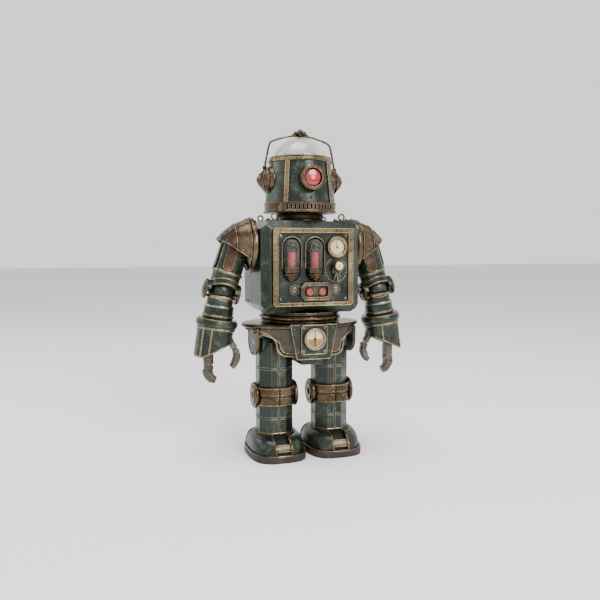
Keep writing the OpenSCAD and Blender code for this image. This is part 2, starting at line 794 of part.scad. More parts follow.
// Upright seam down the front and the back of a leg.
module seam_line(z0, z1) for (s = [-1, 1])
    translate([-0.4, s * leg_af / 2 - 0.6, z0]) cube([0.8, 1.2, z1 - z0]);

// Space that a leg segment may fill beside the knee, level in front and sloping away behind.
module knee_side() x_plate(-25, 25)
    polygon([[-30, gap / 2], [0, gap / 2], [30, gap / 2 + 30 * tan(knee_relief)], [30, 60], [-30, 60]]);

module thigh() color("darkslategray") {
    difference() {
        union() {
            at_leg(knee_z) intersection() {
                union() {
                    oct_bar(leg_af, -1, hip_z - knee_z);
                    oct_bar(leg_af + 3, -1, band_h);
                }
                knee_side();
            }
            at_leg(hip_z) x_bar(11, -13, 13);
        }
        at_leg(knee_z) sphere(knee_ball_r + 0.4);
        at_leg(knee_z) x_bar(knee_pin_r + 0.02, -30, 30);
        at_leg(hip_z) x_bar(hip_shaft_r + run, -30, 30);
        at_leg(0) seam_ring(79.7);
        at_leg(0) seam_line(knee_z + band_h + 0.5, hip_z - 5);
        at_leg(0) oct_bar(leg_af - 2 * wall, 72, 89);
    }
}

module knee_pin() color("peru") at_leg(knee_z) {
    x_bar(knee_pin_r, -18, 18);
    for (s = [0, 1]) mirror([s, 0, 0]) {
        x_bar(knee_disc_r, leg_af / 2 + 1.5, leg_af / 2 + 4);
        x_bar(7.5, leg_af / 2 + 4, leg_af / 2 + 5);
    }
}

module shin() color("darkslategray") {
    difference() {
        union() {
            difference() {
                at_leg(knee_z) intersection() {
                    union() {
                        oct_bar(leg_af, 17.5 - knee_z, 1);
                        oct_bar(leg_af + 2.2, -band_h, 1);
                    }
                    mirror([0, 0, 1]) knee_side();
                }
                // space for the ankle lugs
                at_leg(10) translate([-11, -9, 0]) cube([22, 18, 12]);
                at_leg(0) oct_bar(leg_af - 2 * wall, 26, 38);
            }
            at_leg(knee_z) sphere(knee_ball_r);
            // ankle tongue
            at_leg(ankle_z) x_bar(5, -5.4, 5.4);
            at_leg(ankle_z) translate([-5.4, -5, 0]) cube([10.8, 10, 9.2]);
        }
        at_leg(knee_z) x_bar(knee_pin_r + run, -30, 30);
        at_leg(ankle_z) x_bar(ankle_pin_r + run, -30, 30);
        at_leg(0) seam_ring(35);
        at_leg(0) seam_line(17, knee_z - band_h - 0.5);
    }
}

// One level of the foot's dome, from 0 at the sole to 1 at the ankle, shrunk by inset.
module foot_level(t, inset) {
    bulge = sqrt(1 - t * t);
    front_l = 19 + 15 * bulge - inset;
    back_l = 18.6 + 13 * bulge - inset;
    side = 18.6 + 5.6 * bulge - inset;
    translate([0, (back_l - front_l) / 2, sole_t + t * (foot_top - sole_t - inset)])
        linear_extrude(0.02) polygon(oval(side, (front_l + back_l) / 2, 2.7, 44));
}

module foot_dome(inset) hull() for (t = [0, 0.3, 0.55, 0.75, 0.9, 0.995]) foot_level(t, inset);

toe_slot = 6.2;                  // half width of the slot over the toe

module foot_shell() color("darkslategray") at_leg(0) difference() {
    foot_dome(0);
    translate([0, 0, -0.02]) foot_dome(1.7);
    oct_bar(leg_af + 3.6, sole_t + 4, foot_top + 5);
    translate([-toe_slot, -50, sole_t - 1]) cube([2 * toe_slot, 34, 20]);
}

module foot_sole() at_leg(0) {
    color("saddlebrown") difference() {
        union() {
            translate([0, -1]) linear_extrude(sole_t - 1.4) polygon(oval(25.1, 33.9, 3.2, 56));
            translate([0, -1, sole_t - 1.4]) linear_extrude(1.4) polygon(oval(25.7, 34.6, 2.9, 56));
        }
        // hollow underside
        translate([0, 0, -1]) linear_extrude(3) polygon(oval(17, 25, 3, 40));
    }
    color("dimgray") difference() {
        union() {
            for (s = [0, 1]) mirror([s, 0, 0]) translate([6, -6, sole_t]) cube([3.6, 12, ankle_z - sole_t]);
            translate([0, 0, ankle_z]) {
                for (s = [0, 1]) mirror([s, 0, 0]) x_bar(6, 6, 9.6);
                x_bar(ankle_pin_r, -9.6, 9.6);
            }
        }
    }
    // stepped toe core seen through the slot, with its brass cross bar
    color("darkolivegreen") translate([-toe_slot + 0.4, -31, sole_t]) cube([2 * toe_slot - 0.8, 10, 5.4]);
    color("peru") translate([-toe_slot + 0.4, -27.6, sole_t + 5.4]) cube([2 * toe_slot - 0.8, 5, 2.4]);
}

// ---------- build list ----------

placed() pelvis_shell();
placed() pelvis_flange();
placed() hip_guards();
placed() belt_plate();
placed() belt_gauge();
placed() drive_unit();
placed() torso_shell();
placed() torso_back();
placed() waist_ring();
placed() neck_collar();
placed() chest_panel();
placed() panel_frame();
placed() tube_bases();
placed() tube_glass();
placed() tube_cores();
placed() chest_gauge();
placed() button_bezel();
placed() battery_box();
placed() batteries();
placed() eye_bolts();
placed() panel_screws();
placed() selector_knob();
placed() button_left();
placed() button_right();
placed() head_shell();
placed() head_base_ring();
placed() head_bands();
placed() eye_bezel();
placed() eye_lens();
placed() glass_dome();
placed() ear_caps();
placed() antenna_bow();
placed() pauldron();  // pauldron_left
placed() upper_arm();  // upper_arm_left
placed() elbow_pin();  // elbow_pin_left
placed() forearm();  // forearm_left
placed() gauntlet_unit();  // gauntlet_left
placed() finger_unit();  // finger_left
placed() finger_tip();  // finger_tip_left
placed() thumb();  // thumb_left
placed() thumb_tip();  // thumb_tip_left
placed() on_right() pauldron();  // pauldron_right
placed() on_right() upper_arm();  // upper_arm_right
placed() on_right() elbow_pin();  // elbow_pin_right
placed() on_right() forearm();  // forearm_right
placed() on_right() gauntlet_unit();  // gauntlet_right
placed() on_right() finger_unit();  // finger_right
placed() on_right() finger_tip();  // finger_tip_right
placed() on_right() thumb();  // thumb_right
placed() on_right() thumb_tip();  // thumb_tip_right
placed() thigh();  // thigh_left
placed() knee_pin();  // knee_pin_left
placed() shin();  // shin_left
placed() foot_shell();  // foot_shell_left
placed() foot_sole();  // foot_sole_left
placed() on_right() thigh();  // thigh_right
placed() on_right() knee_pin();  // knee_pin_right
placed() on_right() shin();  // shin_right
placed() on_right() foot_shell();  // foot_shell_right
placed() on_right() foot_sole();  // foot_sole_right
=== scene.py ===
"""Looks of the walking toy robot: worn green enamel, aged brass and bronze, glass and fine trim.

Pieces are modelled in millimetres about the torso's own middle planes; piece() moves them to the row's origin and
stores metres. Sides are the robot's own: left is +X.
"""
import math

import bmesh
import bpy
from mathutils import Matrix, Vector


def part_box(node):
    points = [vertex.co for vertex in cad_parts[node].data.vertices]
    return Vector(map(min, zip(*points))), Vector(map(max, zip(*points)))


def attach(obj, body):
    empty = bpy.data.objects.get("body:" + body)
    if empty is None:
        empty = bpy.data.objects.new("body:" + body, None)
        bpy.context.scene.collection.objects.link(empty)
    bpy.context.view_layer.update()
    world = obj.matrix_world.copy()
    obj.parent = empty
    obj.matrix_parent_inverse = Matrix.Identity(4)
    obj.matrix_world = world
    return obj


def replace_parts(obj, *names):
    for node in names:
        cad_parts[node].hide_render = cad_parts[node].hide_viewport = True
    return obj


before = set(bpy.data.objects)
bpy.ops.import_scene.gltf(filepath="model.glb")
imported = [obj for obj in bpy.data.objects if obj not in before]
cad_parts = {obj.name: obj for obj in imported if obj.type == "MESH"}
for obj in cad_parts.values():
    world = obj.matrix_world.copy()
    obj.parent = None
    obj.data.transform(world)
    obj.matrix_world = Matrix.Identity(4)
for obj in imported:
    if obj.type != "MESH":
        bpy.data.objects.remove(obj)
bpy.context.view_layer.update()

MM = 0.001
LEFT, RIGHT = 1, -1
SIDES = {"left": LEFT, "right": RIGHT}

# ---------------------------------------------------------------- driving sizes, in millimetres
LIMB_Y = -5
MID_Y = (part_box("waist_ring")[0].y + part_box("waist_ring")[1].y) / 2 / MM    # the torso's middle in the row frame
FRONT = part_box("torso_shell")[0].y / MM - MID_Y          # the torso's front face
PANEL_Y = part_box("chest_panel")[0].y / MM - MID_Y        # the chest panel's face
TORSO_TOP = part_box("torso_shell")[1].z / MM
LEG_X = 26.5
LEG_AF = 31
KNEE_Z = 54.5
SHOULDER = Vector((61, LIMB_Y, 189))
UPPER_LEAN = math.radians(18)
FORE_LEAN = math.radians(9)
ELBOW_LEAN = (UPPER_LEAN + FORE_LEAN) / 2
ELBOW_RELIEF = math.radians(27)
UPPER_LEN = 42.6
ELBOW = SHOULDER + UPPER_LEN * Vector((math.sin(UPPER_LEAN), 0, -math.cos(UPPER_LEAN)))
ARM_R = 12.5
EYE_Z = 247
EYE_R = 8.1
CONE_LOW, CONE_HIGH = 226.5, 263
HEAD_R, HEAD_TOP_R = 32, 28
TUBE_X = (-20, 0.8)
TUBE_Y = -38.5
TUBE_FOOT = 170
GAUGE = Vector((21, PANEL_Y, 187.4))
SELECTOR = Vector((20.5, PANEL_Y, 167.5))
BUTTONS = {"button_a": (7.3, "button_left"), "button_b": (-4.1, "button_right")}
BUTTON_Z = 148.8
BELT_GAUGE = Vector((0, -40.6, 108))

UPPER = Matrix.Translation(SHOULDER) @ Matrix.Rotation(-UPPER_LEAN, 4, "Y")
FORE = Matrix.Translation(ELBOW) @ Matrix.Rotation(-FORE_LEAN, 4, "Y")
HINGE = Matrix.Translation(ELBOW) @ Matrix.Rotation(-ELBOW_LEAN, 4, "Y")
TO_FRONT = Matrix.Rotation(math.radians(90), 4, "X")     # local Z points out of the front
TO_SIDE = Matrix.Rotation(math.radians(90), 4, "Y")      # local Z points along +X


def at(x, y, z):
    return Matrix.Translation((x, y, z))


def facing_front(point):
    return at(*point) @ TO_FRONT


def to_side(s):
    """Turns local Z to +X for s of 1 and to -X for s of -1."""
    return TO_SIDE if s == 1 else TO_SIDE.inverted()


def point_on(radius, angle, z=0.0):
    """A point at an angle in radians about local Z."""
    return Vector((radius * math.cos(angle), radius * math.sin(angle), z))


# ---------------------------------------------------------------- materials

class Shader:
    """A small helper that adds nodes to one material and joins them."""

    def __init__(self, name):
        self.mat = bpy.data.materials.new(name)
        self.mat.use_nodes = True
        self.tree = self.mat.node_tree
        self.bsdf = self.tree.nodes["Principled BSDF"]

    def node(self, kind, inputs=None, **settings):
        made = self.tree.nodes.new(kind)
        for key, value in settings.items():
            setattr(made, key, value)
        for key, value in (inputs or {}).items():
            self.put(made.inputs[key], value)
        return made

    def put(self, socket, value):
        if isinstance(value, bpy.types.NodeSocket):
            self.tree.links.new(value, socket)
        else:
            socket.default_value = value

    def math(self, operation, a, b=0.0, clamp=False):
        return self.node("ShaderNodeMath", {0: a, 1: b}, operation=operation, use_clamp=clamp).outputs[0]

    def noise(self, scale, detail=5, rough=0.6, stretch=(1, 1, 1), offset=(0, 0, 0)):
        place = self.node("ShaderNodeMapping", {"Vector": self.coord(), "Scale": stretch, "Location": offset})
        made = self.node("ShaderNodeTexNoise", {"Vector": place.outputs[0], "Scale": scale, "Detail": detail,
                                                "Roughness": rough})
        return made.outputs["Fac"]

    def coord(self):
        return self.node("ShaderNodeTexCoord").outputs["Object"]

    def span(self, value, low, high, out_low=0.0, out_high=1.0):
        made = self.node("ShaderNodeMapRange", {"Value": value, "From Min": low, "From Max": high,
                                                "To Min": out_low, "To Max": out_high})
        return made.outputs[0]

    def mix(self, factor, a, b):
        made = self.node("ShaderNodeMix", {"Factor": factor}, data_type="RGBA")
        self.put(made.inputs["A"], a)
        self.put(made.inputs["B"], b)
        return made.outputs["Result"]

    def edges(self, radius, low=0.015, high=0.3):
        """1 where the surface turns within radius, 0 on flats."""
        round_normal = self.node("ShaderNodeBevel", {"Radius": radius}, samples=6).outputs[0]
        true_normal = self.node("ShaderNodeNewGeometry").outputs["Normal"]
        dot = self.node("ShaderNodeVectorMath", {0: round_normal, 1: true_normal}, operation="DOT_PRODUCT")
        return self.span(self.math("SUBTRACT", 1.0, dot.outputs["Value"]), low, high)

    def painted_crevice_shade(self, distance):
        """Painted shade from ambient occlusion: 1 in corners and gaps, 0 in the open."""
        open_air = self.node("ShaderNodeAmbientOcclusion", {"Distance": distance}, samples=6).outputs["AO"]
        return self.span(open_air, 0.9, 0.35)

    def rounded(self, radius, height, strength):
        """Bump from height on a normal that is softened at the edges."""
        soft = self.node("ShaderNodeBevel", {"Radius": radius}, samples=6).outputs[0]
        return self.node("ShaderNodeBump", {"Height": height, "Normal": soft, "Strength": strength,
                                            "Distance": 0.0006}).outputs[0]


def rgb(r, g, b):
    """A screen colour from 0 to 255 as linear light."""
    return tuple((c / 255) ** 2.2 for c in (r, g, b)) + (1.0,)


def aged(name, dark, mid, light, edge, shade_colour, metallic, rough, wear=0.8, chips=0.66, bump=0.35):
    """Old metal or enamel: blotches, chips, bright rubbed edges and painted shade darkening the corners."""
    s = Shader(name)
    broad = s.noise(32, 7, 0.65)
    fine = s.noise(420, 8, 0.7, offset=(3, 1, 2))
    colour = s.mix(s.span(broad, 0.35, 0.62), dark, mid)
    colour = s.mix(s.span(s.noise(95, 6, 0.7, offset=(1, 5, 2)), 0.52, 0.75), colour, light)
    # fine scratches run in three directions
    for stretch, scale, offset in (((1, 1, 16), 60, 4), ((14, 2, 1), 70, 9), ((4, 1, 9), 110, 2)):
        scratch = s.span(s.noise(scale, 4, 0.75, stretch=stretch, offset=(offset, offset, 0)), chips, chips + 0.07)
        colour = s.mix(s.math("MULTIPLY", scratch, 0.45), colour, edge)
    chip = s.math("MULTIPLY", s.span(fine, 0.66, 0.74), s.span(broad, 0.5, 0.6))
    colour = s.mix(s.math("MULTIPLY", chip, 0.55), colour, edge)
    rubbed = s.math("MULTIPLY", s.edges(0.0008), s.span(fine, 0.3, 0.58, 0.2, 1.0))
    rubbed = s.math("MULTIPLY", rubbed, wear, clamp=True)
    colour = s.mix(rubbed, colour, edge)
    # painted shade: corners and gaps are darkened towards the shade colour
    painted_shade = s.math("MULTIPLY", s.painted_crevice_shade(0.0045), 0.88)
    colour = s.mix(painted_shade, colour, shade_colour)
    s.put(s.bsdf.inputs["Base Color"], colour)
    s.put(s.bsdf.inputs["Metallic"], metallic)
    s.put(s.bsdf.inputs["Roughness"], s.span(s.math("ADD", fine, broad), 0.75, 1.3, rough[0], rough[1]))
    height = s.math("ADD", s.math("MULTIPLY", fine, 0.35), s.noise(150, 4, 0.55))
    s.put(s.bsdf.inputs["Normal"], s.rounded(0.0005, height, bump))
    return s.mat


def glossy(name, colour, deep, rough, coat=0.0, scale=300):
    """Moulded plastic or enamel with a little mottling."""
    s = Shader(name)
    mottle = s.noise(scale, 5)
    s.put(s.bsdf.inputs["Base Color"], s.mix(s.span(mottle, 0.35, 0.7), colour, deep))
    s.put(s.bsdf.inputs["Roughness"], s.span(mottle, 0.3, 0.7, rough, rough + 0.15))
    s.put(s.bsdf.inputs["Coat Weight"], coat)
    s.put(s.bsdf.inputs["Normal"], s.rounded(0.0003, mottle, 0.12))
    return s.mat


def dusty_glass_with_sheen(name, tint, alpha, rough):
    """Thin clear glass with a film of dust, and a painted sheen that makes it paler and more opaque where it turns away
    from view.
    """
    s = Shader(name)
    film = s.noise(60, 6, 0.6)
    # painted sheen: opacity grows where the surface turns away from view
    rim = s.node("ShaderNodeLayerWeight", {"Blend": 0.35}).outputs["Facing"]
    dust_and_sheen = s.math("ADD", s.span(film, 0.3, 0.75, alpha * 0.85, alpha * 1.25), s.span(rim, 0.3, 1.0, 0.0, 0.4))
    s.put(s.bsdf.inputs["Base Color"], s.mix(s.span(film, 0.4, 0.8), tint, rgb(214, 212, 204)))
    s.put(s.bsdf.inputs["Roughness"], s.span(s.noise(200, 4), 0.3, 0.7, rough, rough + 0.08))
    s.put(s.bsdf.inputs["Alpha"], s.math("MINIMUM", dust_and_sheen, 1.0))
    s.put(s.bsdf.inputs["IOR"], 1.5)
    s.put(s.bsdf.inputs["Coat Weight"], 1.0)
    s.put(s.bsdf.inputs["Coat Roughness"], 0.03)
    return s.mat


def lit_eye(name):
    """Red glass lit from behind: pale at the middle, deep red at the rim."""
    s = Shader(name)
    place = s.node("ShaderNodeSeparateXYZ", {0: s.coord()})
    up = s.math("SUBTRACT", place.outputs["Z"], EYE_Z * MM)
    radius = s.math("SQRT", s.math("ADD", s.math("MULTIPLY", place.outputs["X"], place.outputs["X"]),
                                   s.math("MULTIPLY", up, up)))
    ramp = s.node("ShaderNodeValToRGB", {0: s.math("DIVIDE", radius, EYE_R * MM)})
    stops = ((0.0, (0.8, 0.36, 0.26)), (0.17, (0.75, 0.22, 0.17)), (0.27, (0.5, 0.01, 0.016)),
             (0.4, (0.22, 0.001, 0.003)), (0.5, (0.42, 0.006, 0.01)), (0.72, (0.3, 0.002, 0.005)),
             (0.84, (0.09, 0.001, 0.002)), (1.0, (0.03, 0.001, 0.001)))
    band = ramp.color_ramp
    while len(band.elements) < len(stops):
        band.elements.new(0.5)
    for element, (place_at, tone) in zip(band.elements, stops):
        element.position = place_at
        element.color = (*tone, 1.0)
    s.put(s.bsdf.inputs["Base Color"], ramp.outputs[0])
    s.put(s.bsdf.inputs["Emission Color"], ramp.outputs[0])
    s.put(s.bsdf.inputs["Emission Strength"], 0.06)
    s.put(s.bsdf.inputs["Roughness"], s.span(s.noise(500, 3), 0.3, 0.7, 0.08, 0.2))
    s.put(s.bsdf.inputs["Coat Weight"], 0.8)
    return s.mat


# the fifth colour of each aged finish is the painted shade colour for its corners and gaps
M = {
    "green": aged("green_enamel", rgb(22, 29, 23), rgb(42, 51, 42), rgb(80, 89, 76), rgb(168, 170, 152),
                  rgb(16, 15, 12), 0.4, (0.2, 0.42), wear=1.0),
    "brown": aged("brown_lacquer", rgb(50, 38, 29), rgb(96, 76, 60), rgb(134, 113, 91), rgb(204, 186, 156),
                  rgb(16, 13, 10), 0.75, (0.2, 0.42), wear=0.95, chips=0.65),
    "patina": aged("patina_lacquer", rgb(42, 40, 33), rgb(74, 64, 52), rgb(84, 90, 76), rgb(160, 144, 116),
                   rgb(20, 17, 13), 0.4, (0.32, 0.55), wear=0.7),
    "sole": aged("sole_leather", rgb(34, 24, 18), rgb(56, 42, 33), rgb(78, 62, 50), rgb(124, 104, 84),
                 rgb(18, 13, 10), 0.1, (0.5, 0.72), wear=0.6),
    "bronze": aged("aged_bronze", rgb(50, 40, 30), rgb(96, 80, 60), rgb(138, 121, 96), rgb(216, 202, 172),
                   rgb(16, 12, 8), 0.9, (0.18, 0.38), wear=0.9, bump=0.2),
    "brass": aged("aged_brass", rgb(84, 70, 48), rgb(140, 121, 88), rgb(176, 160, 128), rgb(230, 218, 188),
                  rgb(26, 20, 12), 0.85, (0.2, 0.4), wear=0.85, chips=0.67, bump=0.2),
    "gun": aged("gunmetal", rgb(54, 49, 43), rgb(92, 86, 76), rgb(122, 115, 102), rgb(192, 186, 170),
                rgb(20, 18, 15), 0.8, (0.3, 0.48), wear=0.9, chips=0.64),
    "steel": aged("bright_steel", rgb(108, 108, 104), rgb(146, 147, 142), rgb(168, 168, 162), rgb(214, 214, 208),
                  rgb(40, 38, 36), 0.95, (0.2, 0.36), bump=0.15),
    # painted shadow: the near-black sheets behind the head's slots and in the toe slots
    "dark": aged("painted_shadow_dark", rgb(14, 14, 13), rgb(24, 24, 22), rgb(34, 33, 30), rgb(80, 76, 68),
                 rgb(8, 8, 7), 0.4, (0.5, 0.7), wear=0.3),
    "orange": glossy("orange_plastic", rgb(178, 84, 44), rgb(96, 46, 26), 0.2, 0.6, scale=420),
    "cream": glossy("dial_enamel", rgb(222, 206, 164), rgb(200, 178, 128), 0.32, 0.3),
    "tan": glossy("dial_shade", rgb(150, 120, 66), rgb(120, 90, 46), 0.35, 0.3),
    "ink": glossy("dial_ink", rgb(46, 34, 22), rgb(30, 22, 14), 0.5),
    "black": glossy("black_plastic", rgb(26, 26, 26), rgb(16, 16, 16), 0.5),
    "foil": glossy("battery_wrap", rgb(150, 112, 40), rgb(96, 70, 26), 0.3, 0.5),
    "pink": glossy("pink_core", rgb(196, 66, 84), rgb(120, 34, 48), 0.3, 0.4, scale=900),
    "dome": dusty_glass_with_sheen("dome_glass", rgb(178, 176, 168), 0.66, 0.16),
    "tube": dusty_glass_with_sheen("tube_glass", rgb(120, 130, 124), 0.05, 0.03),
    "eye": lit_eye("eye_glass"),
}

# ---------------------------------------------------------------- mesh helpers


def piece(name, verts, faces, look, body, side=LEFT, bevel=0.0, sharp=38, shell=0.0):
    """One mesh piece from points in millimetres. side RIGHT mirrors it; shell gives sheet metal its thickness."""
    mesh = bpy.data.meshes.new(name)
    points = [(p[0] * side * MM, (p[1] + MID_Y) * MM, p[2] * MM) for p in verts]
    mesh.from_pydata(points, [], [tuple(f)[::side] for f in faces])
    mesh.validate()
    mesh.materials.append(M[look])
    work = bmesh.new()
    work.from_mesh(mesh)
    bmesh.ops.remove_doubles(work, verts=work.verts, dist=1e-6)
    bmesh.ops.recalc_face_normals(work, faces=work.faces)
    work.to_mesh(mesh)
    work.free()
    mesh.polygons.foreach_set("use_smooth", [True] * len(mesh.polygons))
    mesh.set_sharp_from_angle(angle=math.radians(sharp))
    made = bpy.data.objects.new(name, mesh)
    bpy.context.scene.collection.objects.link(made)
    if shell:
        thick = made.modifiers.new("sheet", "SOLIDIFY")
        thick.thickness = shell * MM
        thick.offset = -1
    if bevel:
        soft = made.modifiers.new("bevel", "BEVEL")
        soft.width = bevel * MM
        soft.segments = 2
        soft.limit_method = "ANGLE"
        soft.angle_limit = math.radians(32)
        soft.harden_normals = True
    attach(made, body)
    return made


class Shape:
    """Points and faces gathered from several simple forms, so that small repeats become one piece."""

    def __init__(self):
        self.verts = []
        self.faces = []

    def add(self, verts, faces, place=Matrix.Identity(4)):
        base = len(self.verts)
        self.verts += [place @ Vector(v) for v in verts]
        self.faces += [[base + i for i in f] for f in faces]
        return self

    def make(self, name, look, body, side=LEFT, **more):
        return piece(name, self.verts, self.faces, look, body, side, **more)

    def lathe(self, profile, place=Matrix.Identity(4), turns=40):
        """Turns (radius, height) points about local Z. Ends on the axis close the form."""
        verts, faces, rings = [], [], []
        for r, h in profile:
            if r < 1e-6:
                rings.append([len(verts)])
                verts.append((0, 0, h))
            else:
                rings.append(list(range(len(verts), len(verts) + turns)))
                verts += [(r * math.cos(2 * math.pi * i / turns), r * math.sin(2 * math.pi * i / turns), h)
                          for i in range(turns)]
        for low, high in zip(rings, rings[1:]):
            for i in range(turns):
                j = (i + 1) % turns
                quad = [low[i % len(low)], low[j % len(low)], high[j % len(high)], high[i % len(high)]]
                face = list(dict.fromkeys(quad))
                if len(face) > 2:
                    faces.append(face)
        return self.add(verts, faces, place)

    def ring(self, radius, tube, place=Matrix.Identity(4), turns=64, sides=10):
        """A torus about local Z."""
        path = [(radius * math.cos(2 * math.pi * i / turns), radius * math.sin(2 * math.pi * i / turns), 0)
                for i in range(turns)]
        return self.wire([place @ Vector(p) for p in path], tube, closed=True, sides=sides)

    def wire(self, path, radius, closed=False, sides=8, flat=1.0):
        """A round wire along a path. flat below 1 presses it across its second axis."""
        path = [Vector(p) for p in path]
        count = len(path)
        normal = None
        verts, faces = [], []
        for i, p in enumerate(path):
            before = path[i - 1] if (i or closed) else p
            after = path[(i + 1) % count] if (i < count - 1 or closed) else p
            along = (after - before).normalized()
            if normal is None:
                normal = along.cross(Vector((0, 1, 0.013))).normalized()
            normal = (normal - along * normal.dot(along)).normalized()
            across = along.cross(normal)
            for k in range(sides):
                a = 2 * math.pi * k / sides
                verts.append(p + radius * (math.cos(a) * normal + flat * math.sin(a) * across))
        last = count if closed else count - 1
        for i in range(last):
            for k in range(sides):
                a, b = i * sides, ((i + 1) % count) * sides
                m = (k + 1) % sides
                faces.append([a + k, a + m, b + m, b + k])
        if not closed:
            faces.append(list(range(sides)))
            faces.append([(count - 1) * sides + k for k in range(sides)])
        return self.add(verts, faces)

    def rivet(self, point, out, radius=0.75, height=0.55):
        """A domed rivet head that stands on point and faces out."""
        dome = [(0, height)] + [(radius * math.sin(a), height * math.cos(a)) for a in (0.5, 1.0, 1.35)]
        dome += [(radius, -0.25), (0, -0.25)]
        place = Matrix.Translation(point) @ Vector((0, 0, 1)).rotation_difference(Vector(out)).to_matrix().to_4x4()
        return self.lathe(dome, place, 12)

    def screw(self, place, radius=1.6, height=0.9, turn=0.6):
        """A round head with a slot across it, facing along local Z."""
        self.lathe([(radius * 1.25, -0.2), (radius * 1.25, 0.25), (radius, 0.3), (radius * 0.94, height * 0.75),
                    (radius * 0.6, height), (0, height)], place, 20)
        slot = place @ Matrix.Rotation(turn, 4, "Z")
        return self.block((-radius * 0.8, -0.16, height - 0.05), (radius * 0.8, 0.16, height + 0.12), slot)

    def block(self, low, high, place=Matrix.Identity(4)):
        verts = [(x, y, z) for x in (low[0], high[0]) for y in (low[1], high[1]) for z in (low[2], high[2])]
        faces = [(0, 1, 3, 2), (4, 6, 7, 5), (0, 4, 5, 1), (2, 3, 7, 6), (0, 2, 6, 4), (1, 5, 7, 3)]
        return self.add(verts, faces, place)

    def plate(self, outline, low, high, place=Matrix.Identity(4)):
        """A flat outline made solid between two heights."""
        n = len(outline)
        verts = [(x, y, low) for x, y in outline] + [(x, y, high) for x, y in outline]
        faces = [list(range(n))[::-1], list(range(n, 2 * n))]
        faces += [[i, (i + 1) % n, n + (i + 1) % n, n + i] for i in range(n)]
        return self.add(verts, faces, place)

    def grid(self, rows, closed=False):
        """A sheet through rows of points."""
        width = len(rows[0])
        verts = [p for row in rows for p in row]
        faces = []
        for i in range(len(rows) - 1):
            for j in range(width if closed else width - 1):
                k = (j + 1) % width
                faces.append([i * width + j, i * width + k, (i + 1) * width + k, (i + 1) * width + j])
        return self.add(verts, faces)


def arc(cx, cy, rx, ry, start, end, steps=12):
    """Points of an ellipse arc between two angles in degrees."""
    turn = [math.radians(start + (end - start) * i / steps) for i in range(steps + 1)]
    return [(cx + rx * math.cos(t), cy + ry * math.sin(t)) for t in turn]


def superoval(a, b, power, steps=72):
    """Points of an oval with half sizes a and b; a power over 2 squares it, one under 2 points it."""
    points = []
    for i in range(steps):
        c, s = math.cos(2 * math.pi * i / steps), math.sin(2 * math.pi * i / steps)
        points.append((math.copysign(a * abs(c) ** (2 / power), c), math.copysign(b * abs(s) ** (2 / power), s)))
    return points


def round_rect(x0, z0, x1, z1, r, steps=5):
    return (arc(x1 - r, z0 + r, r, r, -90, 0, steps) + arc(x1 - r, z1 - r, r, r, 0, 90, steps)
            + arc(x0 + r, z1 - r, r, r, 90, 180, steps) + arc(x0 + r, z0 + r, r, r, 180, 270, steps))


def cut_rect(x0, z0, x1, z1, c):
    return [(x0 + c, z0), (x1 - c, z0), (x1, z0 + c), (x1, z1 - c), (x1 - c, z1), (x0 + c, z1), (x0, z1 - c),
            (x0, z0 + c)]


def on_front(outline, y):
    """An outline in X and Z as points at depth y."""
    return [(x, y, z) for x, z in outline]


def paint(node, look):
    """Gives a CAD node its material."""
    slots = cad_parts[node].data.materials
    slots.clear()
    slots.append(M[look])


# ---------------------------------------------------------------- head

def cone_r(z):
    return HEAD_R + (HEAD_TOP_R - HEAD_R) * (z - CONE_LOW) / (CONE_HIGH - CONE_LOW)


def around(angle, radius, z):
    """A point at an angle in degrees from the front, positive to the robot's left."""
    a = math.radians(angle)
    return Vector((radius * math.sin(a), -radius * math.cos(a), z))


def outward(angle):
    return around(angle, 1, 0)


def head():
    for node, look in (("head_shell", "green"), ("head_base_ring", "bronze"), ("head_bands", "brass"),
                       ("eye_bezel", "bronze")):
        paint(node, look)
    rivets = Shape()
    beads = Shape()
    for strip in (-40, 40):
        for i in range(9):
            z = CONE_LOW + 3 + i * 3.9
            rivets.rivet(around(strip, cone_r(z) + 0.85, z), outward(strip), 0.65, 0.5)
        for edge in (-3.3, 3.3):
            beads.wire([around(strip + edge * (0.9 + 0.004 * i), cone_r(CONE_LOW + i) + 0.75, CONE_LOW + i)
                        for i in range(37)], 0.4)
    for i in range(24):
        rivets.rivet(around(i * 15 + 7.5, 28.8, CONE_HIGH + 1.1), outward(i * 15 + 7.5), 0.6, 0.5)
    for i in range(9):
        turn = 52 + i * 32
        rivets.rivet(around(turn, 32.4, 222.2), outward(turn), 0.8, 0.6)
    rivets.make("head_rivets", "brass", "head")
    beads.ring(28.5, 0.65, at(0, 0, CONE_HIGH + 0.2))
    beads.ring(27.6, 0.6, at(0, 0, CONE_HIGH + 3.8))
    beads.make("head_strip_beads", "brass", "head")
    rims = Shape()
    rims.ring(32.75, 0.75, at(0, 0, 218.7))
    rims.ring(32.75, 0.6, at(0, 0, CONE_LOW - 0.5))
    rims.make("head_base_rims", "bronze", "head")
    Shape().rivet(around(0, cone_r(230.4) - 0.05, 230.4), outward(0), 1.3, 1.0).make("face_rivet", "green", "head")
    # dark sheet behind the slots of the base ring: painted shadow for the hollow seen through them
    slot_shadow = Shape().lathe([(30.3, 218.9), (30.5, 219), (30.5, 225.8), (30.3, 225.9)])
    slot_shadow.make("slot_shadow_sheet", "dark", "head")
    eye()
    dome = Shape().lathe([(25.2 * math.cos(t), CONE_HIGH + 22.5 * math.sin(t))
                          for t in (math.radians(3 * i) for i in range(30))] + [(0, CONE_HIGH + 22.5)], turns=72)
    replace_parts(dome.make("dome_glass", "dome", "head", shell=1.2, sharp=80), "glass_dome")
    under = Shape().lathe([(25.0, 0.2), (24.6, 1.6), (22, 2.2), (0, 2.4)], at(0, 0, CONE_HIGH))
    under.make("dome_floor", "green", "head")
    ears()
    bow()


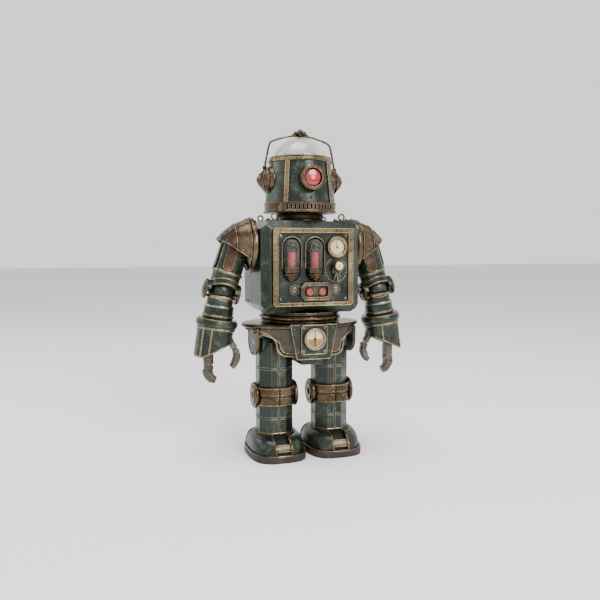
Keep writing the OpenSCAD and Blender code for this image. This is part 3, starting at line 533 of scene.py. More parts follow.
def eye():
    place = at(0, -36.6, EYE_Z) @ TO_FRONT
    rim = Shape()
    rim.lathe([(10.9, -1.5), (11.1, -0.4), (10.9, 0.5), (10.2, 1.0), (9.7, 0.9), (9.3, 0.3), (9.0, 0.2), (8.7, 0.6),
               (8.3, 0.7), (8.0, 0.3), (7.9, -1.2)], place, 56)
    rim.make("eye_rim", "bronze", "head", sharp=60)
    curve = [(8.0 * math.cos(t), -1.2 + 1.9 * math.sin(t)) for t in (0.1, 0.35, 0.6, 0.85, 1.1, 1.35)]
    lens = Shape().lathe([(8.05, -1.6)] + curve + [(0, 0.7)], place, 56)
    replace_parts(lens.make("eye_glass", "eye", "head", sharp=80), "eye_lens")


def ears():
    """Turned caps on both sides of the head; the left one stands in for the CAD pair."""
    turned = [(12.0, 26.0), (12.3, 27.0), (12.3, 28.2), (11.8, 28.9), (11.7, 30.6), (10.6, 31.4), (11.4, 31.9),
              (11.5, 32.6), (10.7, 33.1), (9.9, 33.0), (10.0, 33.8), (9.4, 34.4), (8.6, 34.4), (8.5, 35.2),
              (7.9, 35.8), (7.1, 36.0), (6.6, 36.9), (5.4, 38.2), (3.9, 39.1), (2.4, 39.5), (2.3, 40.0),
              (1.6, 40.5), (0, 40.7)]
    for word, side in SIDES.items():
        cap = Shape().lathe(turned, at(0, 0, EYE_Z) @ TO_SIDE, 48)
        made = cap.make(f"ear_cap_{word}", "bronze", "head", side, sharp=62)
        if side == LEFT:
            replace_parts(made, "ear_caps")


def bow():
    half = [(33.4, 253.5), (33.0, 259), (31.6, 266), (30.2, 273), (29.0, 278.4), (27.9, 280.5), (25.6, 282.0),
            (20, 284.0), (13.5, 285.9), (7, 287.0), (0, 287.3)]
    path = [(x, 0, z) for x, z in half] + [(-x, 0, z) for x, z in half[-2::-1]]
    wire = Shape().wire(path, 0.95, sides=12)
    made = wire.make("bow_wire", "bronze", "head")
    made.modifiers.new("smooth", "SUBSURF").render_levels = 1
    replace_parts(made, "antenna_bow")
    feet = Shape()
    for s in (LEFT, RIGHT):
        feet.lathe([(0, 0), (1.5, 0), (1.8, 0.5), (1.8, 2.6), (1.2, 3.2), (0, 3.2)], at(s * 33.3, 0, 256.4), 20)
    feet.make("bow_feet", "bronze", "head")
    # a small cluster of petals at the top
    flower = Shape()
    ball = [(0, -1)] + [(math.cos(t), math.sin(t)) for t in (-1.2, -0.8, -0.4, 0, 0.4, 0.8, 1.2)] + [(0, 1)]
    spots = [(0, 0, 291.0, 2.4)]
    spots += [(4.0 * math.cos(t), 3.0 * math.sin(t), 289.6, 1.9) for t in (math.pi * i / 3 for i in range(6))]
    spots += [(s * 6.6, 0, 288.0, 1.2) for s in (-1, 1)]
    for x, y, z, r in spots:
        flower.lathe([(a * r, b * r) for a, b in ball], at(x, y, z), 20)
    flower.lathe([(0, 285.9), (2.2, 286.0), (2.6, 287.6), (2.2, 289.4), (0, 289.6)], turns=24)
    flower.make("bow_flower", "bronze", "head")


# ---------------------------------------------------------------- torso

def torso():
    for node, look in (("torso_shell", "green"), ("torso_back", "green"), ("waist_ring", "bronze"),
                       ("neck_collar", "bronze"), ("chest_panel", "green"), ("panel_frame", "brass"),
                       ("tube_bases", "bronze"), ("battery_box", "black"), ("batteries", "foil"),
                       ("button_bezel", "gun"), ("chest_gauge", "brass"), ("selector_knob", "bronze"),
                       ("tube_cores", "pink"), ("tube_glass", "tube")):
        paint(node, look)
    rings = Shape()
    for radius, z, tube in ((35.6, 121.4, 0.8), (36.1, 124.8, 1.5), (35.3, 128.4, 0.8)):
        rings.ring(radius, tube, at(0, 0, z), 80)
    rings.make("waist_beads", "bronze", "torso")
    neck = Shape()
    for radius, z, tube in ((22.9, 210.9, 0.9), (20.9, 213.4, 0.8), (21.1, 214.9, 0.9), (20.6, 216.6, 0.7)):
        neck.ring(radius, tube, at(0, 0, z), 64)
    neck.make("neck_beads", "bronze", "torso")
    lifting_eyes()
    screws = Shape()
    for s in (LEFT, RIGHT):
        for z in (138, 170, 202):
            for y in (16, 24):
                screws.screw(at(s * 45, y, z) @ to_side(s), 1.2, 0.7)
        for z in (145, 183):
            screws.screw(at(s * 22.5, -FRONT + 1.2, z) @ TO_FRONT.inverted(), 1.3, 0.8)
    screws.make("case_screws", "bronze", "torso")
    cross = Shape().wire(on_front(round_rect(-26, 142, 26, 186, 2.4), -FRONT + 1.1), 0.5, closed=True)
    cross.make("battery_door_bead", "brass", "torso")


def lifting_eyes():
    eyes = Shape()
    for x in (-31, 31):
        for y in (-24, 24):
            top = at(x, y, TORSO_TOP)
            eyes.lathe([(0, 0), (3.6, 0), (3.7, 0.5), (3.2, 0.9), (2.4, 1.0), (2.2, 1.7), (0, 1.8)], top, 24)
            eyes.ring(2.55, 0.75, at(x, y, TORSO_TOP + 3.9) @ TO_FRONT, 28, 10)
            # two knurled nuts beside each eye
            for shift in (-5.2, 5.0):
                eyes.lathe([(0, 0), (2.0, 0), (2.3, 0.7), (1.9, 1.5), (1.2, 1.8), (1.0, 2.5), (0, 2.7)],
                           at(x + shift, y + 1.5, TORSO_TOP), 12)
    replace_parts(eyes.make("lifting_eyes", "bronze", "torso"), "eye_bolts")


def chest():
    frame_beads = Shape()
    for x, low, high in ((36.0, 136.9, 203.1), (32.2, 139.4, 199.7)):
        outline = cut_rect(-x, low, x, high, 1.6)
        frame_beads.wire(on_front(outline, FRONT - 2.3), 0.5, closed=True)
    frame_beads.make("chest_frame_beads", "brass", "torso")
    rivets = Shape()
    for i in range(7):
        x = -30 + i * 10
        for z in (138.1, 201.4):
            rivets.rivet((x, FRONT - 2.35, z), (0, -1, 0), 0.6, 0.5)
    for i in range(6):
        z = 146 + i * 9.6
        for x in (-34.1, 34.1):
            rivets.rivet((x, FRONT - 2.35, z), (0, -1, 0), 0.6, 0.5)
    rivets.make("chest_frame_rivets", "bronze", "torso")
    screws = Shape()
    for x in (-29.8, 29.8):
        for z in (142.2, 197.0):
            screws.screw(facing_front((x, PANEL_Y, z)), 1.15, 0.8, turn=x + z)
    for x in (-17.6, 19.8):
        screws.screw(facing_front((x, PANEL_Y - 1.4, 150.8)), 1.9, 1.3, turn=x)
    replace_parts(screws.make("panel_screw_heads", "brass", "torso"), "panel_screws")
    for index, x in enumerate(TUBE_X):
        chest_tube(index, x)
    selector()
    buttons()


def chest_tube(index, x):
    arch = [(x - 8.6, 169)] + arc(x, 187.4, 8.6, 8.6, 180, 0, 24) + [(x + 8.6, 169)]
    trim = Shape().wire(on_front(arch, PANEL_Y - 1.1), 0.6)
    for i in range(5):
        turn = math.radians(180 - 45 * i)
        trim.rivet((x + 8.7 * math.cos(turn), PANEL_Y - 1.3, 187.4 + 8.7 * math.sin(turn)), (0, -1, 0), 0.55, 0.6)
    trim.make(f"tube_arch_{index}", "brass", "torso")
    base = Shape()
    for radius, z, tube in ((7.4, 169.4, 0.6), (7.5, 167.1, 0.7), (7.2, 164.0, 0.8), (5.4, 161.3, 0.6)):
        base.ring(radius, tube, at(x, TUBE_Y, z), 40)
    base.make(f"tube_base_rings_{index}", "bronze", "torso")
    # pale holder with the glowing coil round its core
    holder = Shape()
    for s in (-1, 1):
        holder.wire([(x + s * 4.6, TUBE_Y - 1.5, TUBE_FOOT), (x + s * 4.6, TUBE_Y - 1.5, 184.5)], 0.35)
    holder.lathe([(0, 183.4), (4.6, 183.4), (4.9, 184.0), (4.6, 184.9), (3.0, 185.4), (2.6, 186.4), (0, 186.6)],
                 at(x, TUBE_Y, 0), 28)
    ball = [(0, -2.0)] + [(2.0 * math.cos(t), 2.0 * math.sin(t)) for t in (-1.1, -0.7, -0.3, 0.1, 0.5, 0.9, 1.25)]
    for turn in (-90, 30, 150):
        a = math.radians(turn)
        holder.lathe(ball + [(0, 2.0)], at(x + 2.7 * math.cos(a), TUBE_Y + 2.7 * math.sin(a), 189.2), 18)
    holder.make(f"tube_holder_{index}", "brass", "torso")
    coil = [(x + 3.5 * math.cos(t), TUBE_Y + 3.5 * math.sin(t), TUBE_FOOT + 0.4 + 12.6 * t / (math.pi * 20))
            for t in (math.pi * i / 9 for i in range(181))]
    Shape().wire(coil, 0.42, sides=6).make(f"tube_coil_{index}", "pink", "torso")
    if index == 0:
        core = Shape()
        for cx in TUBE_X:
            core.lathe([(0, TUBE_FOOT), (3.2, TUBE_FOOT), (3.3, TUBE_FOOT + 13.4), (0, TUBE_FOOT + 13.4)],
                       at(cx, TUBE_Y, 0), 24)
        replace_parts(core.make("tube_core_rods", "pink", "torso"), "tube_cores")


def gauge(word, centre, rim, dial, body):
    """Bezel beads, a cream dial and its ticks; the caller adds the needle to the ticks and makes them."""
    place = facing_front(centre)
    bezel = Shape().lathe([(rim + 0.1, 0), (rim + 0.4, 0.8), (rim + 0.2, 1.9), (rim - 0.5, 2.9), (rim - 1.3, 3.3),
                           (dial + 0.7, 3.0), (dial + 0.3, 2.2), (dial, 1.5)], place, 56)
    for i in range(12):
        turn = 2 * math.pi * i / 12
        spot = place @ point_on(rim - 0.7, turn, 3.0)
        bezel.rivet(spot, (0, -1, 0), 0.42, 0.4)
    bezel.make(f"{word}_gauge_bezel", "brass", body, sharp=60)
    face = Shape().lathe([(0, 1.75), (dial * 0.5, 1.72), (dial * 0.96, 1.6), (dial, 1.3)], place, 48)
    face.make(f"{word}_gauge_dial", "cream", body)
    marks = Shape()
    for i in range(24):
        turn = Matrix.Rotation(2 * math.pi * i / 24, 4, "Z")
        inner = dial * (0.74 if i % 3 == 0 else 0.84)
        marks.block((inner, -0.12, 1.6), (dial * 0.93, 0.12, 1.78), place @ turn)
    return place, marks


def finish_gauges():
    """Each gauge's ticks and needle; the belt's dial is shaded in its lower half."""
    place, marks = gauge("chest", GAUGE, 9.0, 6.7, "torso")
    needle = [(-0.35, -1.6), (0.35, -1.6), (0.12, 4.9), (-0.12, 4.9)]
    marks.plate(needle, 1.85, 2.05, place @ Matrix.Rotation(0.25, 4, "Z"))
    marks.lathe([(0, 2.5), (0.7, 2.3), (0.9, 1.8)], place, 16)
    marks.make("chest_gauge_marks", "ink", "torso")
    place, marks = gauge("belt", BELT_GAUGE, 9.6, 8.0, "pelvis")
    marks.plate([(-0.4, -6.9), (0.4, -6.9), (0.4, 0), (0.2, 6.9), (-0.2, 6.9), (-0.4, 0)], 1.9, 2.2, place)
    marks.lathe([(0, 2.8), (0.9, 2.6), (1.2, 1.8)], place, 16)
    marks.make("belt_gauge_marks", "ink", "pelvis")
    shade = Shape().plate(arc(0, 0, 6.6, 6.6, 180, 360, 24), 1.5, 1.82, place)
    shade.make("belt_gauge_shade", "tan", "pelvis")


def selector():
    scale = Shape()
    for i in range(21):
        turn = math.radians(120 + i * 15)
        x, z = SELECTOR.x + 9.3 * math.cos(turn), SELECTOR.z + 9.3 * math.sin(turn)
        tick = at(x, PANEL_Y, z) @ Matrix.Rotation(-turn, 4, "Y")
        scale.block((-0.75, -0.25, -0.16), (0.75, 0.1, 0.16), tick)
    ring = arc(SELECTOR.x, SELECTOR.z, 10.4, 10.4, 118, 418, 50)
    scale.wire(on_front(ring, PANEL_Y - 0.05), 0.2, sides=6)
    scale.make("selector_scale", "brass", "torso")
    place = facing_front(SELECTOR + Vector((0, -8.4, 3.6)))
    cap = Shape().lathe([(3.4, -0.1), (3.4, 0.35), (3.1, 0.6), (0, 0.75)], place, 32)
    cap.make("selector_cap", "cream", "selector")
    grip = Shape()
    grip.ring(3.75, 0.45, place, 36)
    for i in range(18):
        turn = Matrix.Rotation(2 * math.pi * i / 18, 4, "Z")
        grip.block((3.6, -0.28, -4.6), (4.2, 0.28, -0.3), place @ turn)
    for turn in (0.5, 0.5 + math.pi / 2):
        grip.block((-1.5, -0.18, 0.6), (1.5, 0.18, 0.9), place @ Matrix.Rotation(turn, 4, "Z"))
    grip.make("selector_grip", "bronze", "selector")
    prongs = Shape()
    for x, drop in ((-2.2, 8.6), (0, 10.4), (2.2, 8.6)):
        path = ((x * 0.5, -3.6, -2), (x, -4.4, -5.5), (x * 1.3, -2.2, -drop))
        prongs.wire([SELECTOR + Vector(p) for p in path], 0.7)
    prongs.make("selector_prongs", "gun", "selector")


def buttons():
    for body, (x, node) in BUTTONS.items():
        cap = Shape().lathe([(3.3, -2.5), (3.3, 2.0), (3.0, 2.6), (2.3, 2.7), (1.9, 2.2), (1.3, 2.1), (0, 2.3)],
                            facing_front((x, PANEL_Y, BUTTON_Z)), 36)
        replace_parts(cap.make(f"{node}_cap", "orange", body, sharp=50), node)
        ring = Shape().ring(3.75, 0.35, facing_front((x, PANEL_Y - 1.25, BUTTON_Z)), 36)
        ring.make(f"{node}_collar", "bronze", "torso")
    rim = Shape()
    rim.wire(on_front(cut_rect(-11.9, 142.1, 15.1, 156.5, 3.0), PANEL_Y - 3.5), 0.75, closed=True)
    rim.wire(on_front(cut_rect(-9.5, 144.2, 12.7, 154.4, 1.8), PANEL_Y - 3.3), 0.5, closed=True)
    rim.make("button_bezel_rims", "bronze", "torso")


# ---------------------------------------------------------------- pelvis

SKIRT_A, SKIRT_B = 52, 36.9
FLANGE_Z = 116


def skirt_y(x, proud=0.0):
    """Depth of the skirt's outer face at x, in front."""
    return -(SKIRT_B + proud) * math.sqrt(max(0.0, 1 - (x / (SKIRT_A + proud)) ** 2))


def skirt_line(inset, steps=16):
    """The S-shaped lower edge from the flange to the belt plate, moved inward by inset, as X and Z."""
    upper = arc(50, 101, 19 + inset, 14 - inset, 90, 180, steps)
    lower = arc(22, 101, 9 - inset, 8.5 - inset * 0.8, 0, -90, steps)
    points = [p for p in upper if p[0] < 50 - inset * 0.2] + lower[1:]
    return points + [(15.8, points[-1][1])]


def pelvis():
    for node, look in (("pelvis_shell", "green"), ("pelvis_flange", "bronze"), ("hip_guards", "patina"),
                       ("belt_plate", "green"), ("drive_unit", "steel"), ("belt_gauge", "brass")):
        paint(node, look)
    rim = Shape().wire([(x, y, FLANGE_Z + 1.8) for x, y in superoval(53.4, 36.4, 1.9, 96)], 1.75, closed=True, sides=12)
    rim.make("flange_rim", "bronze", "pelvis")
    beads = Shape()
    panels = Shape()
    rivets = Shape()
    for front in (1, -1):
        for s in (LEFT, RIGHT):
            for inset, radius in ((0.4, 0.95), (3.4, 0.6)):
                line = [(s * x, front * skirt_y(x, 0.25), z) for x, z in skirt_line(inset)]
                beads.wire(line, radius)
            rows = []
            for x, z in skirt_line(3.6):
                top = FLANGE_Z - 0.3
                if z < top - 0.5:
                    rows.append([(s * x, front * skirt_y(x, 0.35), z + (top - z) * i / 6) for i in range(7)])
            panels.grid(rows)
            for x, z in ((42, 114), (34, 113.5), (26.5, 96.8), (20, 95.4)):
                rivets.rivet((s * x, front * skirt_y(x, 0.4), z), (x / 60 * s, -front, 0), 0.7, 0.55)
    beads.make("skirt_beads", "brass", "pelvis")
    panels.make("skirt_panels", "patina", "pelvis")
    rivets.make("skirt_rivets", "brass", "pelvis")
    belt()
    guards = Shape()
    tongue = [(11, FLANGE_Z - 0.2), (11, 103)] + arc(LIMB_Y, 103, 16, 12, 0, -180, 22)
    tongue += [(-21, 103), (-21, FLANGE_Z - 0.2)]
    for s in (LEFT, RIGHT):
        guards.wire([(s * 46.0, y, z) for y, z in tongue], 0.75)
        for y, z in ((-18, 112), (8, 112), (-5, 92.8)):
            guards.rivet((s * 46.3, y, z), (s, 0, 0), 0.8, 0.6)
    guards.make("hip_guard_trim", "bronze", "pelvis")


def belt():
    outer = [(-21.2, 120.2), (-15.4, 91.0), (-13.9, 90.2), (13.9, 90.2), (15.4, 91.0), (21.2, 120.2)]
    edge = Shape().wire(on_front(outer, -39.2), 0.55, closed=True)
    inner = round_rect(-11.6, 94.7, 11.6, 119.9, 2.2)
    edge.wire(on_front(inner, -40.5), 0.5, closed=True)
    edge.make("belt_beads", "brass", "pelvis")
    screws = Shape()
    for s in (-1, 1):
        for x, z in ((9.6, 117.6), (9.6, 96.9)):
            screws.screw(facing_front((s * x, -40.5, z)), 0.85, 0.6, turn=s * x + z)
        for x, z in ((17.6, 116.6), (14.2, 97)):
            screws.rivet((s * x, -39.2, z), (0, -1, 0), 0.7, 0.5)
    screws.make("belt_screws", "brass", "pelvis")


# ---------------------------------------------------------------- arms

PAULDRON = [(46.7, 23.4), (49.3, 23.6), (55, 22), (61, 19.6), (66, 16.9), (70.5, 13.6), (74.5, 10), (77.5, 6.6)]


def pauldron_r(x):
    for (x0, r0), (x1, r1) in zip(PAULDRON, PAULDRON[1:]):
        if x <= x1:
            return r0 + (r1 - r0) * (x - x0) / (x1 - x0)
    return PAULDRON[-1][1]


def cut_height(x):
    """Height of the pauldron's sloping edge over the shoulder axis."""
    return -12.3 + (x - 50.9) * 26.7 / 39.1


def over_shoulder(x, angle, proud=0.0):
    """A point on the pauldron; angle 0 is at the front and 90 on top."""
    r = pauldron_r(x) + proud
    a = math.radians(angle)
    return Vector((x, SHOULDER.y - r * math.cos(a), SHOULDER.z + r * math.sin(a)))


def edge_angle(x):
    return math.degrees(math.asin(max(-1, min(1, cut_height(x) / pauldron_r(x)))))


def shoulder(word, side):
    body = f"{word}_upper_arm"
    paint(f"pauldron_{word}", "brown")
    shell = Shape()
    stations = [46.7 + i * 1.1 for i in range(29)]
    rows = []
    for x in stations:
        low = edge_angle(x) if x > 50.9 else -90
        rows.append([over_shoulder(x, low + (180 - 2 * low) * i / 40) for i in range(41)])
    tip = [over_shoulder(77.5, edge_angle(77.5) + (180 - 2 * edge_angle(77.5)) * i / 40) for i in range(41)]
    end = Vector((78.6, SHOULDER.y, SHOULDER.z + cut_height(78.6)))
    rows += [tip, [end] * 41]
    shell.grid(rows)
    made = shell.make(f"pauldron_shell_{word}", "brown", body, side, shell=1.3, sharp=70)
    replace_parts(made, f"pauldron_{word}")
    ribs = Shape()
    for x, radius in ((51.8, 0.75), (63.5, 0.7)):
        low = edge_angle(x)
        ribs.wire([over_shoulder(x, low + (180 - 2 * low) * i / 36, 0.2) for i in range(37)], radius)
    line = [over_shoulder(51.2 + i * 1.3, edge_angle(51.2 + i * 1.3), 0.0) for i in range(21)]
    back = [Vector((p.x, 2 * SHOULDER.y - p.y, p.z)) for p in reversed(line)]
    ribs.wire(line + back, 0.8)
    ribs.wire([over_shoulder(52 + i, 62 - i * 0.8, 0.25) for i in range(26)], 0.6)
    ribs.wire([over_shoulder(52 + i, 118 + i * 0.8, 0.25) for i in range(26)], 0.6)
    ribs.make(f"pauldron_ribs_{word}", "bronze", body, side)
    collar = Shape().lathe([(22.6, 46.4), (24.2, 46.6), (24.4, 47.4), (24.2, 49.8), (23.8, 50.6), (23.2, 50.9),
                            (22.6, 50.9)], at(0, SHOULDER.y, SHOULDER.z) @ TO_SIDE, 64)
    collar.make(f"pauldron_collar_{word}", "bronze", body, side)
    rivets = Shape()
    for x, lift in ((54.5, 8), (59, 8), (66.5, 9), (71, 12)):
        for mirror_back in (0, 1):
            angle = edge_angle(x) + lift
            p = over_shoulder(x, 180 - angle if mirror_back else angle, 0.05)
            rivets.rivet(p, (0.35, p.y - SHOULDER.y, p.z - SHOULDER.z), 0.8, 0.6)
    for i in range(9):
        p = over_shoulder(48.8, 5 + i * 21, 0.9)
        rivets.rivet(p, (0, p.y - SHOULDER.y, p.z - SHOULDER.z), 0.7, 0.5)
    rivets.make(f"pauldron_rivets_{word}", "brass", body, side)


def wrapped(outline, radius, place, centre_angle, proud=1.0):
    """A thin plate bent round an arm tube; the outline is in arc length and height."""
    cx = sum(p[0] for p in outline) / len(outline)
    cy = sum(p[1] for p in outline) / len(outline)
    made = Shape()
    rings = [(1.0, -0.3), (1.0, proud * 0.8), (0.93, proud), (0.7, proud), (0.4, proud), (0.1, proud)]
    rows = []
    for k, lift in rings:
        row = []
        for x, y in outline:
            u, v = cx + (x - cx) * k, cy + (y - cy) * k
            a = math.radians(centre_angle) + u / radius
            row.append(place @ point_on(radius + lift, a, v))
        rows.append(row)
    made.grid(rows, closed=True)
    last = len(made.verts) - len(outline)
    made.faces.append(list(range(last, last + len(outline))))
    return made


def seam_path(frame_at, radius, up, gap=0.5, steps=48):
    """Where an arm tube meets the wedge of the elbow, just clear of the cut."""
    into = HINGE.inverted() @ frame_at
    path = []
    for i in range(steps):
        a = 2 * math.pi * i / steps
        foot = into @ point_on(radius, a)
        along = into.to_3x3() @ Vector((0, 0, 1))
        slope = -math.tan(ELBOW_RELIEF) if foot.y < 0 else 0.0
        level = 0.15 + gap
        sign = 1 if up else -1
        # solve foot.z + t * along.z = sign * (level + slope * (foot.y + t * along.y))
        t = (sign * (level + slope * foot.y) - foot.z) / (along.z - sign * slope * along.y)
        path.append(HINGE @ (foot + t * along))
    return path


def arm(word, side):
    upper_body, fore_body, hand = f"{word}_upper_arm", f"{word}_forearm", f"{word}_hand"
    for node, look in (("upper_arm", "green"), ("elbow_pin", "bronze"), ("forearm", "green"), ("gauntlet", "green")):
        paint(f"{node}_{word}", look)
    shoulder(word, side)
    bands = Shape()
    bands.wire(seam_path(UPPER, ARM_R + 0.1, True, 0.9), 0.85, closed=True)
    bands.wire(seam_path(UPPER, ARM_R + 0.05, True, 5.6), 0.7, closed=True)
    bands.lathe([(12.6, -26.8), (13.4, -26.6), (13.7, -25.6), (13.4, -24.6), (12.6, -24.4)], UPPER, 56)
    bands.make(f"upper_arm_bands_{word}", "brass", upper_body, side)
    tongue = [(-4.4, 0), (-4.4, -17.5)] + arc(0, -17.5, 4.4, 4.6, 180, 360, 14) + [(4.4, -17.5), (4.4, 0)]
    for index, angle in enumerate((-90 - 14 * side, 4, 98)):
        strap = wrapped(tongue, 12.75, UPPER @ at(0, 0, -2), angle, 0.9)
        strap.make(f"arm_strap_{word}_{index}", "brown", upper_body, side)
        edge = Shape()
        curve = []
        for u, v in tongue:
            a = math.radians(angle) + u / 12.75
            curve.append(UPPER @ point_on(13.4, a, v - 2))
        edge.wire(curve, 0.5)
        a = math.radians(angle)
        edge.rivet(UPPER @ point_on(13.6, a, -20.2),
                   UPPER.to_3x3() @ point_on(1, a), 0.8, 0.6)
        edge.make(f"arm_strap_edge_{word}_{index}", "bronze", upper_body, side)
    discs = Shape()
    for s in (-1, 1):
        place = HINGE @ at(s * 15.2, 0, 0) @ to_side(s)
        discs.lathe([(8.6, -1.5), (8.9, -1.2), (8.9, -0.2), (8.3, 0.4), (7.6, 0.6), (6.9, 0.2), (6.4, 0.1),
                     (5.9, 0.7), (5.4, 1.2), (4.6, 1.4), (4.2, 1.1), (2.2, 1.2), (1.9, 1.8), (0, 2.1)], place, 44)
    discs.make(f"elbow_discs_{word}", "bronze", upper_body, side, sharp=60)
    rings = Shape()
    rings.wire(seam_path(FORE, 11.75, False, 1.0), 0.6, closed=True)
    for r0, r1, low, high in ((11.4, 12.7, -6.1, -3.5), (12.6, 14.2, -22.6, -20.7)):
        mid = (low + high) / 2
        rings.lathe([(r0, low), (r1 - 0.2, low + 0.2), (r1, mid), (r1 - 0.2, high - 0.2), (r0, high)], FORE, 56)
    rings.make(f"forearm_brass_rings_{word}", "brass", fore_body, side)
    steel = Shape().lathe([(11.6, -14.1), (12.9, -13.9), (13.2, -13.1), (12.9, -12.3), (11.6, -12.1)], FORE, 56)
    steel.make(f"forearm_steel_ring_{word}", "steel", fore_body, side)
    gauntlet(word, side, hand)
    fingers(word, side)


CUFF_R, CUFF_LOW = 15.2, -58
STRIP_TOP = -33.6


def cuff_edge(angle, radius):
    """A point on the cuff's slanted lower rim, in the forearm frame."""
    x = radius * math.cos(angle)
    z = CUFF_LOW if x > 11 else CUFF_LOW + (11 - x) * 16.6 / 27
    return Vector((x, radius * math.sin(angle), z))


def gauntlet(word, side, hand):
    rolled = Shape().lathe([(15.4, -24.4), (17.0, -24.6), (17.9, -25.6), (18.3, -27.2), (18.3, -29.0), (17.7, -30.6),
                            (16.6, -31.4)], FORE, 64)
    rolled.make(f"gauntlet_roll_{word}", "green", hand, side, sharp=70)
    brass = Shape()
    brass.lathe([(16.2, -31.3), (16.9, -31.5), (17.1, -32.4), (16.9, -33.4), (16.2, -33.8)], FORE, 64)
    brass.lathe([(16.9, -24.2), (17.4, -24.5), (17.5, -25.0), (17.2, -25.2)], FORE, 64)
    steps = 72
    rim = [FORE @ cuff_edge(2 * math.pi * i / steps, CUFF_R) for i in range(steps)]
    notch = [i for i in range(steps) if abs(2 * math.pi * i / steps - math.pi) > 0.34]
    start = notch.index(min(i for i in notch if i > steps / 2))
    brass.wire([rim[i] for i in notch[start:] + notch[:start]], 0.85)
    for turn in (-90 - 22 * side, -38, 20, 78, 130):
        a = math.radians(turn)
        low = cuff_edge(a, CUFF_R).z
        strip = [FORE @ point_on(15.75 - 0.45 * i / 12, a, STRIP_TOP + (low - STRIP_TOP) * i / 12) for i in range(13)]
        brass.wire(strip, 0.95, sides=6)
        out = FORE.to_3x3() @ point_on(1, a)
        for k in (0.12, 0.88):
            spot = FORE @ point_on(16.2, a, STRIP_TOP + (low - STRIP_TOP) * k)
            brass.rivet(spot, out, 0.6, 0.5)
    brass.make(f"gauntlet_trim_{word}", "brass", hand, side)


FINGER_KNUCKLE = (1.8, -67.5)
THUMB_ROOT, THUMB_KNUCKLE = (-13.6, -41.5), (-20.5, -50.5)


def claw_link(shape, path, half_width, thick):
    """A boxy link with cut corners along a path of X and Z in the forearm frame; thick is given at both ends."""
    points = [Vector((x, 0, z)) for x, z in path]
    rows = []
    for i, p in enumerate(points):
        along = (points[min(i + 1, len(points) - 1)] - points[max(i - 1, 0)]).normalized()
        across = Vector((along.z, 0, -along.x))
        half = (thick[0] + (thick[1] - thick[0]) * i / (len(points) - 1)) / 2
        cut = min(half, half_width) * 0.42
        outline = cut_rect(-half, -half_width, half, half_width, cut)
        rows.append([FORE @ (p + across * a + Vector((0, b, 0))) for a, b in outline])
    shape.grid(rows, closed=True)
    first = len(shape.verts) - 8 * len(rows)
    shape.faces.append(list(range(first, first + 8)))
    shape.faces.append(list(range(len(shape.verts) - 8, len(shape.verts))))


def bent(start, centre, turn, parts):
    """Points of a link that bends about centre by turn degrees, from start."""
    radius = math.hypot(start[0] - centre[0], start[1] - centre[1])
    first = math.degrees(math.atan2(start[1] - centre[1], start[0] - centre[0]))
    return arc(*centre, radius, radius, first, first + turn, parts)


def barrel(shape, spot, radius, half_width):
    """A knuckle barrel across a claw, with a pin head at each end."""
    for s in (-1, 1):
        place = FORE @ at(spot[0], 0, spot[1]) @ (TO_FRONT if s < 0 else TO_FRONT.inverted())
        shape.lathe([(radius, 0), (radius, half_width), (radius * 0.86, half_width + 0.4),
                     (radius * 0.5, half_width + 0.4), (radius * 0.44, half_width + 0.9), (0, half_width + 1)],
                    place, 28)


def fingers(word, side):
    finger = Shape()
    claw_link(finger, [(5.6, -44), (4.5, -50), (3.2, -58), (2.2, -64.6)], 4.5, (7.6, 8.4))
    claw_link(finger, [(6.7, -49), (5.4, -57), (4.9, -61)], 2.6, (5.0, 5.0))
    barrel(finger, FINGER_KNUCKLE, 3.9, 4.0)
    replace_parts(finger.make(f"finger_link_{word}", "gun", f"{word}_finger", side, bevel=0.25), f"finger_{word}")
    tip = Shape()
    curve = bent((2.2, -69.5), (-8.6, -67.6), -66, 12)
    for first, last in ((0, 4), (4, 8), (8, 12)):
        claw_link(tip, curve[first:last + 1], 4.4 - 0.12 * first, (8.6 - 0.22 * first, 8.0 - 0.24 * first))
    claw_link(tip, bent((4.6, -70.5), (-8.6, -67.6), -52, 8), 1.7, (4.6, 3.6))
    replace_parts(tip.make(f"finger_hook_{word}", "gun", f"{word}_finger_tip", side, bevel=0.25), f"finger_tip_{word}")
    thumb = Shape()
    claw_link(thumb, [(-12.6, -39.6), (-14.6, -42.8), (-18.6, -48)], 3.2, (5.0, 5.6))
    barrel(thumb, THUMB_ROOT, 2.7, 3.2)
    barrel(thumb, THUMB_KNUCKLE, 2.9, 2.9)
    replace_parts(thumb.make(f"thumb_link_{word}", "gun", f"{word}_thumb", side, bevel=0.2), f"thumb_{word}")
    tip = Shape()
    claw_link(tip, [(-21.4, -52.6), (-22.2, -56), (-21.2, -60.6)], 3.1, (6.4, 6.6))
    claw_link(tip, [(-21.2, -60.6), (-20.2, -63.4), (-18.6, -65.4)], 2.9, (6.4, 4.6))
    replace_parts(tip.make(f"thumb_hook_{word}", "gun", f"{word}_thumb_tip", side, bevel=0.2), f"thumb_tip_{word}")


# ---------------------------------------------------------------- legs

def octagon_point(af, angle):
    """A point on an octagon across flats af, at an angle in degrees."""
    nearest = round(angle / 45) * 45
    r = af / 2 / math.cos(math.radians(angle - nearest))
    return r * math.cos(math.radians(angle)), r * math.sin(math.radians(angle))


